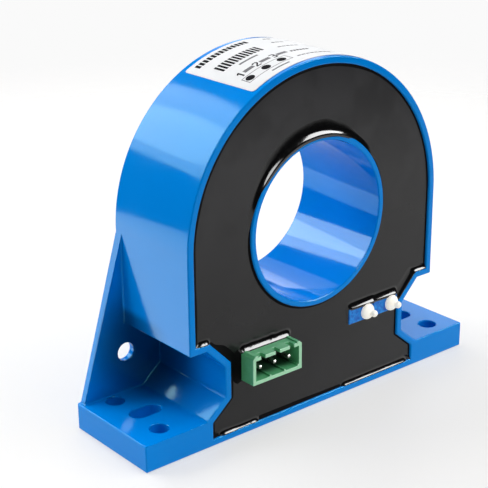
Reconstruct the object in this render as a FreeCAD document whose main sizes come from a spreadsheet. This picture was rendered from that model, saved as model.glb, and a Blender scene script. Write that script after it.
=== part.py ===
"""Hall-effect current transmitter: a moulded housing with a round window, potted from the front.

The conductor passes through the window along Y. The origin lies on the underside of the feet,
midway across the width and midway through the depth. X runs to the right as the potted front
is looked at, Y runs from the front to the back, and Z is up. Lengths are in millimetres.

Places along Y are given as a depth behind the front rim of the housing, because everything
inside is set down into the housing from that rim.
"""
import FreeCAD
import Part
import Sketcher
import math
import os
import re

from FreeCAD import Placement, Rotation, Vector

SIZES = [
    ("window_bore", 45.0, "diameter of the window"),
    ("tube_wall", 1.7, "wall of the window tube"),
    ("wall", 2.0, "outer wall and back wall of the housing"),
    ("core_seat", 1.3, "gap between the window tube and the core"),
    ("core_build", 14.5, "radial build of the magnetic core"),
    ("core_clear", 3.0, "gap between the core and the outer wall"),
    ("core_length", 15.0, "axial length of the core"),
    ("core_behind", 1.0, "gap between the core and the back wall"),
    ("core_before", 2.0, "gap between the circuit board and the core"),
    ("core_gap", 3.0, "air gap at the lowest point of the core"),
    ("core_edge", 1.0, "chamfer of the core's coated edges"),
    ("foot_height", 7.7, "height of the solid feet"),
    ("foot_long", 20.2, "length of a foot beyond the hollow base"),
    ("foot_hole", 5.2, "diameter of the four foot holes"),
    ("foot_hole_inset", 8.8, "distance of a foot hole from the foot's tip"),
    ("foot_row_front", 6.1, "distance of the front row of foot holes from the front"),
    ("foot_row_rear", 5.5, "distance of the rear row of foot holes from the back"),
    ("foot_slot_inset", 11.6, "distance of a foot slot's centre from the foot's tip"),
    ("foot_slot_long", 9.3, "overall length of a foot slot"),
    ("foot_slot_wide", 5.2, "width of a foot slot"),
    ("foot_edge", 0.6, "rounding of the outer edges of the feet"),
    ("recess_in", 11.6, "how far a bolt recess reaches in from the side wall"),
    ("recess_floor", 6.4, "width of the slope between the foot and the waist"),
    ("recess_roof", 6.0, "width of the slope between the waist and the shoulder"),
    ("recess_floor_high", 5.4, "height of the slope between the foot and the waist"),
    ("waist_high", 8.9, "height of the upright wall of the waist"),
    ("recess_roof_high", 6.2, "height of the slope between the waist and the shoulder"),
    ("rear_plate", 2.5, "thickness of the rear plates"),
    ("rear_plate_inset", 1.0, "distance of a rear plate from the foot's tip"),
    ("rear_plate_drop", 0.7, "distance of a rear plate's top below the window's centre"),
    ("rear_hole", 5.3, "diameter of the hole in each rear plate"),
    ("rear_hole_out", 11.4, "distance of a rear plate hole from the waist"),
    ("rear_hole_rise", 11.7, "height of a rear plate hole above the foot"),
    ("rim_edge", 0.35, "rounding of the outer front edge of the housing"),
    ("window_edge", 0.35, "rounding of the front edge of the window tube"),
    ("resin_level", 0.8, "depth of the resin surface"),
    ("hall_thick", 1.6, "thickness of the Hall element across the gap"),
    ("hall_wide", 4.1, "width of the Hall element"),
    ("hall_long", 3.0, "length of the Hall element from its leads"),
    ("hall_lead", 0.4, "side of a Hall element lead"),
    ("hall_pitch", 1.27, "pitch of the Hall element leads"),
    ("board_thick", 1.6, "thickness of the circuit board"),
    ("board_rise", 1.2, "gap under the circuit board"),
    ("board_side", 0.2, "gap between the circuit board and the waist walls"),
    ("board_margin", 2.7, "board left free below the lower row of parts"),
    ("board_end", 3.9, "board left free beside the lower row of parts"),
    ("board_headroom", 1.6, "gap between the circuit board and the window tube"),
    ("board_corner", 1.5, "corner radius of the circuit board"),
    ("solder_tail", 1.0, "length of a lead beyond the circuit board"),
    ("pole_pitch", 5.08, "pitch of the terminal poles"),
    ("header_end", 3.48, "board left free beside the terminal header"),
    ("header_rise", 3.75, "gap between the lower row of parts and the header"),
    ("header_drop", 4.6, "board left free above the header"),
    ("header_high", 8.35, "height of the terminal header"),
    ("header_long", 12.1, "length of the terminal header"),
    ("header_standoff", 2.9, "gap between the header and the circuit board"),
    ("header_wall", 1.0, "wall of the terminal header"),
    ("header_floor", 3.2, "thickness of the header's floor round its pins"),
    ("header_notch", 1.5, "width of the coding notches"),
    ("header_notch_long", 2.2, "length of the coding notches"),
    ("header_rib", 0.5, "width and height of the ribs between the poles"),
    ("header_chamfer", 0.8, "chamfer on the header's upper ends"),
    ("header_ridge", 1.7, "width of the ridge at each end of the header's top"),
    ("header_ridge_high", 0.4, "height of the ridges on the header's top"),
    ("pin_side", 1.0, "side of a square terminal pin"),
    ("pin_rise", 4.15, "height of the pins above the header's underside"),
    ("pin_set_back", 1.0, "distance of the pin tips inside the mouth"),
    ("pin_point", 0.3, "chamfer at a pin tip"),
    ("trimmer_drop", 3.6, "board left free above the trimmers"),
    ("trimmer_end", 0.05, "board left free beside the span trimmer"),
    ("trimmer_gap", 0.2, "gap between the two trimmers"),
    ("trimmer_long", 9.5, "long side of a trimmer"),
    ("trimmer_wide", 4.8, "short side of a trimmer"),
    ("trimmer_high", 10.2, "height of a trimmer on the board"),
    ("trimmer_level", 0.2, "depth of the trimmers' faces"),
    ("trimmer_standoff", 0.4, "height of a trimmer's feet on the board"),
    ("trimmer_edge", 0.3, "rounding of a trimmer's upright edges"),
    ("trimmer_lead", 0.5, "diameter of a trimmer lead"),
    ("trimmer_pitch", 2.54, "pitch of the trimmer leads"),
    ("screw_inset", 1.85, "distance of the screw's axis from the trimmer's end"),
    ("screw_bore", 2.2, "diameter of the adjusting screw"),
    ("screw_sunk", 2.0, "length of the screw inside the trimmer"),
    ("screw_proud", 1.0, "length of the screw outside the trimmer"),
    ("screw_slot", 0.5, "width and depth of the screwdriver slot"),
    ("seal_bore", 4.8, "diameter of the lacquer seal"),
    ("seal_high", 1.8, "height of the lacquer seal"),
    ("seal_shift", 0.7, "how far the seal lies towards the trimmer's centre"),
    ("bead_bore", 2.1, "diameter of the lacquer bead over the screw"),
    ("bead_high", 3.3, "height of the lacquer bead over the screw"),
    ("label_half_angle", 29.2, "angle from the top to each end of the label"),
    ("label_front", 1.5, "distance of the label from the front"),
    ("label_rear", 2.0, "distance of the label from the back"),
    ("label_thick", 0.12, "thickness of the label"),
    ("part_gap", 1.4, "gap between neighbours in the lower row of parts"),
    ("capacitor_bore", 6.3, "diameter of an electrolytic capacitor"),
    ("capacitor_high", 7.0, "height of an electrolytic capacitor"),
    ("capacitor_base", 6.6, "side of a capacitor's base plate"),
    ("capacitor_base_high", 1.0, "height of a capacitor's base plate"),
    ("capacitor_edge", 0.4, "chamfer at the top of a capacitor"),
    ("regulator_wide", 6.5, "width of the voltage regulator"),
    ("regulator_high", 6.1, "height of the voltage regulator on the board"),
    ("regulator_thick", 2.3, "thickness of the voltage regulator"),
    ("regulator_leg", 0.8, "width of a regulator leg"),
    ("regulator_leg_long", 2.6, "length of a regulator leg"),
    ("chip_wide", 3.9, "body width of an eight-lead chip"),
    ("chip_high", 4.9, "body height of an eight-lead chip"),
    ("chip_thick", 1.5, "body thickness of an eight-lead chip"),
    ("chip_lead_long", 1.05, "length of a chip lead beside the body"),
    ("chip_lead", 0.4, "width of a chip lead"),
    ("chip_lead_thick", 0.25, "thickness of a chip lead"),
    ("chip_pitch", 1.27, "pitch of the chip leads"),
    ("diode_clear", 0.55, "gap between the diode and the Hall element's leads"),
    ("diode_long", 4.3, "length of the protection diode"),
    ("diode_wide", 2.6, "width of the protection diode"),
    ("diode_thick", 2.2, "thickness of the protection diode"),
    ("diode_tab", 0.5, "length of a diode tab"),
    ("diode_tab_wide", 1.4, "width of a diode tab"),
    ("resistor_long", 3.2, "length of a chip resistor"),
    ("resistor_wide", 1.6, "width of a chip resistor"),
    ("resistor_thick", 0.6, "thickness of a chip resistor"),
    ("resistor_gap", 1.0, "gap between the rows of chip resistors"),
    ("ceramic_clear", 5.0, "gap between the ceramic capacitors and the Hall element's leads"),
    ("ceramic_long", 2.0, "length of a ceramic capacitor"),
    ("ceramic_wide", 1.25, "width of a ceramic capacitor"),
    ("ceramic_thick", 0.9, "thickness of a ceramic capacitor"),
    ("ceramic_gap", 1.75, "gap between the ceramic capacitors"),
]

FORMULAS = {
    "tube_half": "window_bore / 2 + tube_wall",
    "core_inner": "2 * (tube_half + core_seat)",
    "core_outer": "core_inner + 2 * core_build",
    "body_half": "tube_half + core_seat + core_build + core_clear + wall",
    "waist_half": "body_half - recess_in",
    "base_half": "waist_half + recess_floor",
    "shoulder_half": "waist_half + recess_roof",
    "foot_tip": "base_half + foot_long",
    "waist_bottom": "foot_height + recess_floor_high",
    "waist_top": "waist_bottom + waist_high",
    "shoulder_height": "waist_top + recess_roof_high",
    "board_level": "trimmer_level + trimmer_high",
    "board_back": "board_level + board_thick",
    "core_level": "board_back + core_before",
    "body_depth": "core_level + core_length + core_behind + wall",
    "front": "-body_depth / 2",
    "board_half": "waist_half - wall - board_side",
    "board_bottom": "wall + board_rise",
    "lower_row": "board_bottom + board_margin + capacitor_base / 2",
    "header_bottom": "lower_row + capacitor_base / 2 + header_rise",
    "board_top": "header_bottom + header_high + header_drop",
    "window_height": "board_top + board_headroom + tube_half",
    "gap_height": "window_height - (core_outer + core_inner) / 4",
    "hall_level": "core_level + (core_length - hall_long) / 2",
    "header_wide": "3 * pole_pitch + 2 * header_wall",
    "header_mouth": "board_level - header_standoff - header_long",
    "header_x": "header_end + header_wide / 2 - board_half",
    "header_middle": "header_bottom + header_high / 2",
    "pin_height": "header_bottom + pin_rise",
    "pin_tip": "header_mouth + pin_set_back",
    "trimmer_height": "board_top - trimmer_drop - trimmer_wide / 2",
    "span_trimmer_x": "board_half - trimmer_end - trimmer_long / 2",
    "zero_trimmer_x": "span_trimmer_x - trimmer_gap - trimmer_long",
    "screw_offset": "trimmer_long / 2 - screw_inset",
    "input_capacitor_x": "board_end + capacitor_base / 2 - board_half",
    "output_capacitor_x": "input_capacitor_x + capacitor_base + part_gap",
    "regulator_x": "output_capacitor_x + (capacitor_base + regulator_wide) / 2 + part_gap",
    "chip_span": "chip_wide + 2 * chip_lead_long",
    "amplifier_x": "regulator_x + (regulator_wide + chip_span) / 2 + part_gap",
    "driver_x": "amplifier_x + chip_span + part_gap",
    "resistor_x": "driver_x + (chip_span + resistor_long) / 2 + part_gap",
    "diode_x": "-(hall_lead / 2 + diode_clear + diode_tab + diode_long / 2)",
    "ceramic_x": "hall_lead / 2 + ceramic_clear + ceramic_long / 2",
    "foot_hole_half": "foot_tip - foot_hole_inset",
    "foot_slot_half": "foot_tip - foot_slot_inset",
    "foot_row_back": "body_depth - foot_row_rear",
    "foot_slot_depth": "(foot_row_front + foot_row_back) / 2",
    "rear_plate_half": "foot_tip - rear_plate_inset",
    "rear_plate_top": "window_height - rear_plate_drop",
    "rear_hole_half": "waist_half + rear_hole_out",
    "rear_hole_height": "foot_height + rear_hole_rise",
}

RESISTOR_ROWS = 3
RESISTOR_COLUMNS = 3
CERAMIC_COUNT = 3
POLES = (-1, 0, 1)
SIDES = (-1, 1)
WORD = re.compile(r"[a-z][a-z_]+")
ALIASES = {name for name, number, note in SIZES}

doc = FreeCAD.newDocument("current_transmitter")
sheet = doc.addObject("Spreadsheet::Sheet", "sizes")


def fill_sheet():
    """Write every driving size into the sheet, one row each, with its alias."""
    for row, (name, number, note) in enumerate(SIZES, start=1):
        sheet.set(f"A{row}", name)
        sheet.set(f"B{row}", str(number))
        sheet.set(f"C{row}", note)
        sheet.setAlias(f"B{row}", name)
    doc.recompute()


def bound(text):
    """Return the formula with derived names written out and each size pointed at the sheet."""
    def swap(word):
        if word[0] in FORMULAS:
            return f"({bound(FORMULAS[word[0]])})"
        return "sizes." + word[0] if word[0] in ALIASES else word[0]

    return WORD.sub(swap, str(text))


def number(text):
    """Return the present value of a formula."""
    return float(sheet.evalExpression(bound(text)))


def behind(depth):
    """Return the formula of the Y place that lies the given depth behind the front rim."""
    return f"front + {depth}"


def bind(item, **formulas):
    """Bind properties of an object to formulas; two underscores stand for a dot."""
    for name, formula in formulas.items():
        item.setExpression(name.replace("__", "."), bound(formula))


def place(item, x="0", y="0", z="0"):
    """Bind the place of a sub-part to formulas."""
    bind(item, Placement__Base__x=x, Placement__Base__y=y, Placement__Base__z=z)


def plane(body, role):
    """Return one of the body's own origin planes or axes."""
    return next(item for item in body.Origin.OriginFeatures if item.Role == role)


class Outline:
    """A sketch on one of the body's own planes, with every point pinned by a formula."""

    def __init__(self, body, role, offset="0"):
        self.sketch = body.newObject("Sketcher::SketchObject", body.Name + "_outline")
        self.sketch.AttachmentSupport = [(plane(body, role), "")]
        self.sketch.MapMode = "FlatFace"
        bind(self.sketch, AttachmentOffset__Base__z=offset)

    def measure(self, kind, formula, *where):
        """Add a measured constraint and bind it to its formula."""
        index = self.sketch.addConstraint(Sketcher.Constraint(kind, *where, number(formula)))
        self.sketch.setExpression(f"Constraints[{index}]", bound(formula))

    def pin(self, edge, end, x=None, y=None):
        """Hold one end of an edge, or its centre, at the given formulas."""
        for kind, formula, axis in (("DistanceX", x, -2), ("DistanceY", y, -1)):
            if formula == "0":
                self.sketch.addConstraint(Sketcher.Constraint("PointOnObject", edge, end, axis))
            elif formula is not None:
                self.measure(kind, formula, -1, 1, edge, end)

    def closed(self, points, arcs=None):
        """Draw a closed run through pairs of formulas; arcs gives the centre of each bent edge."""
        arcs = arcs or {}
        spots = [self.spot(point) for point in points]
        runs = []
        for index, (start, finish) in enumerate(zip(spots, spots[1:] + spots[:1])):
            if index in arcs:
                runs.append(self.bend(self.spot(arcs[index]), start, finish))
            else:
                runs.append((self.sketch.addGeometry(Part.LineSegment(start, finish), False), 1, 2))
        for run, following in zip(runs, runs[1:] + runs[:1]):
            tie = Sketcher.Constraint("Coincident", run[0], run[2], following[0], following[1])
            self.sketch.addConstraint(tie)
        for (edge, first, last), (x, y) in zip(runs, points):
            self.pin(edge, first, x, y)
        for index, (x, y) in arcs.items():
            chord = spots[(index + 1) % len(spots)] - spots[index]
            across = abs(chord.x) > abs(chord.y)
            self.pin(runs[index][0], 3, None if across else x, y if across else None)

    def spot(self, point):
        """Return the present place of a pair of formulas."""
        return Vector(number(point[0]), number(point[1]), 0)

    def bend(self, middle, start, finish):
        """Draw the arc from one spot to another about a centre, and say which end comes first."""
        turn = (finish - start).cross(middle - start).z
        ends = (1, 2) if turn > -1e-6 else (2, 1)
        first, last = (start, finish) if turn > -1e-6 else (finish, start)
        angles = [math.atan2(spot.y - middle.y, spot.x - middle.x) for spot in (first, last)]
        base = Part.Circle(middle, Vector(0, 0, 1), (start - middle).Length)
        return (self.sketch.addGeometry(Part.ArcOfCircle(base, *angles), False), *ends)

    def rectangle(self, x, y, width, height):
        """Draw a rectangle about a centre."""
        left, right = f"({x}) - ({width}) / 2", f"({x}) + ({width}) / 2"
        low, high = f"({y}) - ({height}) / 2", f"({y}) + ({height}) / 2"
        self.closed([(left, low), (right, low), (right, high), (left, high)])

    def circle(self, x, y, diameter):
        """Draw a circle about a centre."""
        round_edge = Part.Circle(self.spot((x, y)), Vector(0, 0, 1), number(diameter) / 2)
        edge = self.sketch.addGeometry(round_edge, False)
        self.pin(edge, 3, x, y)
        self.measure("Diameter", diameter, edge)

    def slot(self, x, y, length, width):
        """Draw a round-ended slot along the sketch's first axis."""
        left, right = f"({x}) - ({length} - {width}) / 2", f"({x}) + ({length} - {width}) / 2"
        low, high = f"({y}) - {width} / 2", f"({y}) + {width} / 2"
        self.closed([(left, low), (right, low), (right, high), (left, high)], {1: (right, y), 3: (left, y)})

    def pad(self, length, backward=False):
        """Pad the sketch; backward turns the pad against the plane's normal."""
        return self.extrude("PartDesign::Pad", length, backward)

    def pocket(self, length, backward=False):
        """Cut the sketch out; backward cuts along the plane's normal."""
        return self.extrude("PartDesign::Pocket", length, backward)

    def extrude(self, kind, length, backward):
        """Pad or cut the sketch over a length."""
        body = self.sketch.getParentGeoFeatureGroup()
        feature = body.newObject(kind, body.Name + "_" + kind.split("::")[1].lower())
        feature.Profile = self.sketch
        feature.Type = "Length"
        feature.Reversed = backward
        bind(feature, Length=length)
        doc.recompute()
        return feature

    def turn(self, axis_role):
        """Revolve the sketch a full turn about one of the body's own axes."""
        body = self.sketch.getParentGeoFeatureGroup()
        feature = body.newObject("PartDesign::Revolution", body.Name + "_revolution")
        feature.Profile = self.sketch
        feature.ReferenceAxis = (plane(body, axis_role), [""])
        feature.Angle = 360
        doc.recompute()
        return feature


def new_body(name):
    """Start a sub-part whose name is its node's name."""
    body = doc.addObject("PartDesign::Body", name)
    body.Label = name
    return body


def front_outline(body, depth):
    """Start a sketch that faces the front, at a depth behind the front rim."""
    return Outline(body, "XZ_Plane", f"-({behind(depth)})")


def edges_where(feature, test):
    """Return the names of the edges whose every sample point passes the test."""
    names = []
    for index, edge in enumerate(feature.Shape.Edges, start=1):
        middle = edge.valueAt((edge.FirstParameter + edge.LastParameter) / 2)
        spots = [vertex.Point for vertex in edge.Vertexes] + [middle]
        if all(test(spot) for spot in spots):
            names.append(f"Edge{index}")
    return names


def near(first, second):
    """Return whether two lengths agree."""
    return abs(first - second) < 1e-3


def round_edges(body, feature, radius, test):
    """Fillet the edges of the last feature that pass the test."""
    fillet = body.newObject("PartDesign::Fillet", body.Name + "_fillet")
    fillet.Base = (feature, edges_where(feature, test))
    bind(fillet, Radius=radius)
    doc.recompute()
    return fillet


def chamfer_edges(body, feature, size, test):
    """Chamfer the edges of the last feature that pass the test."""
    chamfer = body.newObject("PartDesign::Chamfer", body.Name + "_chamfer")
    chamfer.Base = (feature, edges_where(feature, test))
    bind(chamfer, Size=size)
    doc.recompute()
    return chamfer


def draw_body_outline(outline):
    """Draw the housing's outer outline: a waisted base, two shoulders and a round top."""
    right = [
        ("base_half", "0"),
        ("base_half", "foot_height"),
        ("waist_half", "waist_bottom"),
        ("waist_half", "waist_top"),
        ("shoulder_half", "shoulder_height"),
        ("body_half", "shoulder_height"),
        ("body_half", "window_height"),
    ]
    left = [("-" + x, y) for x, y in reversed(right)]
    outline.closed(right + left, {len(right) - 1: ("0", "window_height")})


def front_face(feature):
    """Return the name of the flat face that lies in the plane of the front rim."""
    for index, face in enumerate(feature.Shape.Faces, start=1):
        box = face.BoundBox
        if near(box.YMin, number("front")) and near(box.YMax, number("front")):
            return f"Face{index}"
    raise ValueError("the housing has no front face")


def build_housing():
    """Mould the housing: shell, window tube, feet, rear plates and fixing holes."""
    body = new_body("housing")
    outline = front_outline(body, "0")
    draw_body_outline(outline)
    block = outline.pad("body_depth", backward=True)

    shell = body.newObject("PartDesign::Thickness", "housing_shell")
    shell.Base = (block, [front_face(block)])
    shell.Join = "Intersection"
    shell.Reversed = True
    bind(shell, Value="wall")
    doc.recompute()

    tube = front_outline(body, "0")
    tube.circle("0", "window_height", "2 * tube_half")
    tube.pad("body_depth", backward=True)
    window = front_outline(body, "0")
    window.circle("0", "window_height", "window_bore")
    window.pocket("body_depth")

    feet = front_outline(body, "0")
    for side in SIDES:
        feet.rectangle(
            f"{side} * (foot_tip + base_half - wall / 2) / 2", "foot_height / 2",
            "foot_long + wall / 2", "foot_height")
    feet.pad("body_depth", backward=True)

    plates = front_outline(body, "body_depth")
    for side in SIDES:
        plates.closed([(f"{side} * ({x})", y) for x, y in (
            ("body_half - wall / 2", "rear_plate_top"),
            ("body_half", "rear_plate_top"),
            ("rear_plate_half", "foot_height"),
            ("rear_plate_half", "foot_height / 2"),
            ("base_half - wall / 2", "foot_height / 2"),
            ("base_half - wall / 2", "foot_height"),
            ("waist_half - wall / 2", "waist_bottom"),
            ("waist_half - wall / 2", "waist_top"),
            ("shoulder_half - wall / 2", "shoulder_height + wall / 2"),
            ("body_half - wall / 2", "shoulder_height + wall / 2"),
        )])
    plates.pad("rear_plate")

    bolt_holes = Outline(body, "XY_Plane", "foot_height")
    for side in SIDES:
        for depth in ("foot_row_front", "foot_row_back"):
            bolt_holes.circle(f"{side} * foot_hole_half", behind(depth), "foot_hole")
        bolt_holes.slot(
            f"{side} * foot_slot_half", behind("foot_slot_depth"), "foot_slot_long", "foot_slot_wide")
    bolt_holes.pocket("foot_height")

    rear_holes = front_outline(body, "body_depth")
    for side in SIDES:
        rear_holes.circle(f"{side} * rear_hole_half", "rear_hole_height", "rear_hole")
    drilled = rear_holes.pocket("rear_plate", backward=True)

    tip = number("foot_tip")
    front = number("front")
    top = number("foot_height")
    inner = number("base_half")
    feet_done = round_edges(body, drilled, "foot_edge", lambda spot: (
        near(abs(spot.x), tip) and (near(abs(spot.y), -front) or near(spot.z, top))
        or near(spot.y, front) and near(spot.z, top) and abs(spot.x) > inner - 1e-3))
    rim_done = round_edges(body, feet_done, "rim_edge", lambda spot: (
        near(spot.y, front) and spot.z > top + 1e-3 and near_outline(spot)))
    middle = number("window_height")
    reach = number("tube_half")
    round_edges(body, rim_done, "window_edge", lambda spot: (
        near(spot.y, front) and math.hypot(spot.x, spot.z - middle) < reach + 1e-3))
    return body


def near_outline(spot):
    """Return whether a point lies on the side walls or the round top of the housing."""
    half = number("body_half")
    middle = number("window_height")
    if spot.z > middle:
        return abs(math.hypot(spot.x, spot.z - middle) - half) < 1e-2
    return near(abs(spot.x), half)


def build_core():
    """Wind the strip core round the window, with the air gap at its lowest point."""
    body = new_body("magnetic_core")
    ring = front_outline(body, "core_level")
    ring.circle("0", "window_height", "core_outer")
    ring.circle("0", "window_height", "core_inner")
    solid = ring.pad("core_length", backward=True)
    chamfer_edges(body, solid, "core_edge", lambda spot: True)
    gap = front_outline(body, "core_level")
    gap.rectangle("0", "gap_height", "core_gap", "2 * core_build")
    gap.pocket("core_length")
    return body


def build_hall_element():
    """Make the Hall element that stands in the air gap, its flat face across the flux."""
    element = doc.addObject("Part::Box", "hall_element")
    element.Label = "hall_element"
    bind(element, Length="hall_thick", Width="hall_long", Height="hall_wide")
    place(element, "-hall_thick / 2", behind("hall_level"), "gap_height - hall_wide / 2")
    return element


def build_hall_leads():
    """Make the three leads that run forward from the Hall element through the board."""
    body = new_body("hall_leads")
    leads = front_outline(body, "board_level - solder_tail")
    for index in POLES:
        leads.rectangle("0", f"gap_height + {index} * hall_pitch", "hall_lead", "hall_lead")
    leads.pad("hall_level - board_level + solder_tail", backward=True)
    return body


def build_board():
    """Cut the circuit board, with a hole for every lead that passes through it."""
    body = new_body("circuit_board")
    outline = front_outline(body, "board_level")
    outline.rectangle("0", "(board_bottom + board_top) / 2", "2 * board_half", "board_top - board_bottom")
    plain = outline.pad("board_thick", backward=True)
    half = number("board_half")
    bottom = number("board_bottom")
    top = number("board_top")
    rounded = round_edges(body, plain, "board_corner", lambda spot: (
        near(abs(spot.x), half) and (near(spot.z, bottom) or near(spot.z, top))))
    holes = front_outline(body, "board_level")
    for pole in POLES:
        holes.rectangle(f"header_x + {pole} * pole_pitch", "pin_height", "pin_side", "pin_side")
        holes.rectangle("0", f"gap_height + {pole} * hall_pitch", "hall_lead", "hall_lead")
        for centre in ("zero_trimmer_x", "span_trimmer_x"):
            holes.circle(f"{centre} + {pole} * trimmer_pitch", "trimmer_height", "trimmer_lead")
    holes.pocket("board_thick")
    return body


def build_header():
    """Mould the terminal header: an open-mouthed box with coding notches and floor ribs."""
    body = new_body("terminal_header")
    box = front_outline(body, "header_mouth")
    box.rectangle("header_x", "header_middle", "header_wide", "header_high")
    solid = box.pad("header_long", backward=True)
    top = number("header_bottom + header_high")
    end = number("header_wide / 2")
    across = number("header_x")
    chamfered = chamfer_edges(body, solid, "header_chamfer", lambda spot: (
        near(spot.z, top) and near(abs(spot.x - across), end)))
    top_relief = front_outline(body, "header_mouth")
    top_relief.rectangle(
        "header_x", "header_bottom + header_high - header_ridge_high / 2",
        "header_wide - 2 * header_ridge", "header_ridge_high")
    top_relief.pocket("header_long")
    mouth = front_outline(body, "header_mouth")
    mouth.rectangle(
        "header_x", "header_middle - header_ridge_high / 2",
        "header_wide - 2 * header_wall", "header_high - header_ridge_high - 2 * header_wall")
    mouth.pocket("header_long - header_floor")
    notches = front_outline(body, "header_mouth")
    for pole in POLES:
        notches.rectangle(
            f"header_x + {pole} * pole_pitch",
            "header_bottom + header_high - header_ridge_high - header_wall / 2",
            "header_notch", "2 * header_wall")
    notches.pocket("header_notch_long")
    ribs = front_outline(body, "header_mouth")
    for pole in POLES:
        ribs.rectangle(
            f"header_x + ({pole} + 0.5) * pole_pitch - header_rib / 2 * {int(pole == 1)}",
            "header_bottom + header_wall", "header_rib", "2 * header_rib")
    ribs.pad("header_long - header_floor / 2", backward=True)
    pins = front_outline(body, "header_mouth")
    for pole in POLES:
        pins.rectangle(f"header_x + {pole} * pole_pitch", "pin_height", "pin_side", "pin_side")
    pins.pocket("header_long")
    return body


def build_terminal_pin(index, pole):
    """Make one square terminal pin with a chamfered tip."""
    body = new_body(f"terminal_pin_{index}")
    section = Outline(body, "XZ_Plane")
    section.rectangle("0", "0", "pin_side", "pin_side")
    solid = section.pad("board_back + solder_tail - pin_tip", backward=True)
    chamfer_edges(body, solid, "pin_point", lambda spot: near(spot.y, 0))
    place(body, f"header_x + {pole} * pole_pitch", behind("pin_tip"), "pin_height")
    return body


def build_trimmer(name, centre):
    """Make one multi-turn trimmer: case, adjusting screw, leads and lacquer seal."""
    case = new_body(f"{name}_trimmer_case")
    outline = Outline(case, "XZ_Plane")
    outline.rectangle("0", "0", "trimmer_long", "trimmer_wide")
    block = outline.pad("trimmer_high - trimmer_standoff", backward=True)
    round_edges(case, block, "trimmer_edge", lambda spot: (
        near(abs(spot.x), number("trimmer_long / 2")) and near(abs(spot.z), number("trimmer_wide / 2"))))
    feet = Outline(case, "XZ_Plane", "-trimmer_high")
    for side in SIDES:
        feet.rectangle(
            f"{side} * (trimmer_long / 2 - trimmer_lead - trimmer_edge)", "0",
            "2 * trimmer_lead", "trimmer_wide - 2 * trimmer_edge")
    feet.pad("2 * trimmer_standoff")
    well = Outline(case, "XZ_Plane")
    well.circle("screw_offset", "0", "screw_bore")
    well.pocket("screw_sunk")

    screw = new_body(f"{name}_trimmer_screw")
    head = Outline(screw, "XZ_Plane", "screw_proud")
    head.circle("screw_offset", "0", "screw_bore")
    head.pad("screw_proud + screw_sunk", backward=True)
    slot = Outline(screw, "XZ_Plane", "screw_proud")
    slot.rectangle("screw_offset", "0", "screw_slot", "2 * screw_bore")
    slot.pocket("screw_slot")

    leads = new_body(f"{name}_trimmer_leads")
    wires = Outline(leads, "XZ_Plane", "trimmer_standoff - trimmer_high")
    for pole in POLES:
        wires.circle(f"{pole} * trimmer_pitch", "0", "trimmer_lead")
    wires.pad("trimmer_standoff + board_thick + solder_tail", backward=True)

    for body in (case, screw, leads):
        place(body, centre, behind("trimmer_level"), "trimmer_height")
    seal = build_seal(name, centre, screw)
    return [case, screw, leads, seal]


def build_seal(name, centre, screw):
    """Drop the lacquer seal over the screw: a low dome and a bead, moulded round the screw."""
    parts = []
    for piece, bore, high in (("dome", "seal_bore", "seal_high"), ("bead", "bead_bore", "bead_high")):
        body = doc.addObject("PartDesign::Body", f"{name}_seal_{piece}")
        half = Outline(body, "XY_Plane")
        if piece == "dome":
            sphere = "((seal_bore ^ 2 / 4 + seal_high ^ 2) / (2 * seal_high))"
            half.closed(
                [("0", "0"), ("0", "-" + high), (f"{bore} / 2", "0")],
                {1: ("0", f"{sphere} - {high}")})
            place(body, f"{centre} + screw_offset - seal_shift", behind("trimmer_level"), "trimmer_height")
        else:
            straight = f"-({high} - {bore} / 2)"
            half.closed(
                [("0", "0"), ("0", "-" + high), (f"{bore} / 2", straight), (f"{bore} / 2", "0")],
                {1: ("0", straight)})
            place(body, f"{centre} + screw_offset", behind("trimmer_level"), "trimmer_height")
        half.turn("Y_Axis")
        parts.append(body)
    drop = doc.addObject("Part::MultiFuse", f"{name}_seal_drop")
    drop.Shapes = parts
    seal = doc.addObject("Part::Cut", f"{name}_trimmer_seal")
    seal.Label = f"{name}_trimmer_seal"
    seal.Base = drop
    seal.Tool = screw
    return seal


def build_label():
    """Lay the label over the round top, a little larger in radius than the housing."""
    body = new_body("rating_label")
    inner = "body_half"
    outer = "(body_half + label_thick)"
    corners = []
    for radius, side in ((outer, 1), (outer, -1), (inner, -1), (inner, 1)):
        corners.append((
            f"{side} * {radius} * sin(label_half_angle)",
            f"window_height + {radius} * cos(label_half_angle)"))
    sector = front_outline(body, "label_front")
    centre = ("0", "window_height")
    sector.closed(corners, {0: centre, 2: centre})
    sector.pad("body_depth - label_rear - label_front", backward=True)
    return body


def build_capacitor(name, centre):
    """Make one electrolytic can on its square base plate."""
    body = new_body(name)
    base = Outline(body, "XZ_Plane")
    base.rectangle("0", "0", "capacitor_base", "capacitor_base")
    base.pad("capacitor_base_high")
    can = Outline(body, "XZ_Plane")
    can.circle("0", "0", "capacitor_bore")
    solid = can.pad("capacitor_high")
    chamfer_edges(body, solid, "capacitor_edge", lambda spot: near(spot.y, -number("capacitor_high")))
    place(body, centre, behind("board_level"), "lower_row")
    return body


def build_regulator():
    """Make the voltage regulator with two legs and a cooling tab."""
    body = new_body("voltage_regulator")
    case = Outline(body, "XZ_Plane")
    case.rectangle("0", "0", "regulator_wide", "regulator_high")
    case.pad("regulator_thick")
    legs = Outline(body, "XZ_Plane")
    for side in SIDES:
        legs.rectangle(
            f"{side} * (regulator_wide / 2 - regulator_leg)", "-(regulator_high + regulator_leg_long) / 2",
            "regulator_leg", "regulator_leg_long")
    legs.rectangle(
        "0", "(regulator_high + regulator_leg) / 2", "regulator_wide - 2 * regulator_leg", "regulator_leg")
    legs.pad("regulator_leg / 2")
    place(body, "regulator_x", behind("board_level"), "lower_row + regulator_leg")
    return body


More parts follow.
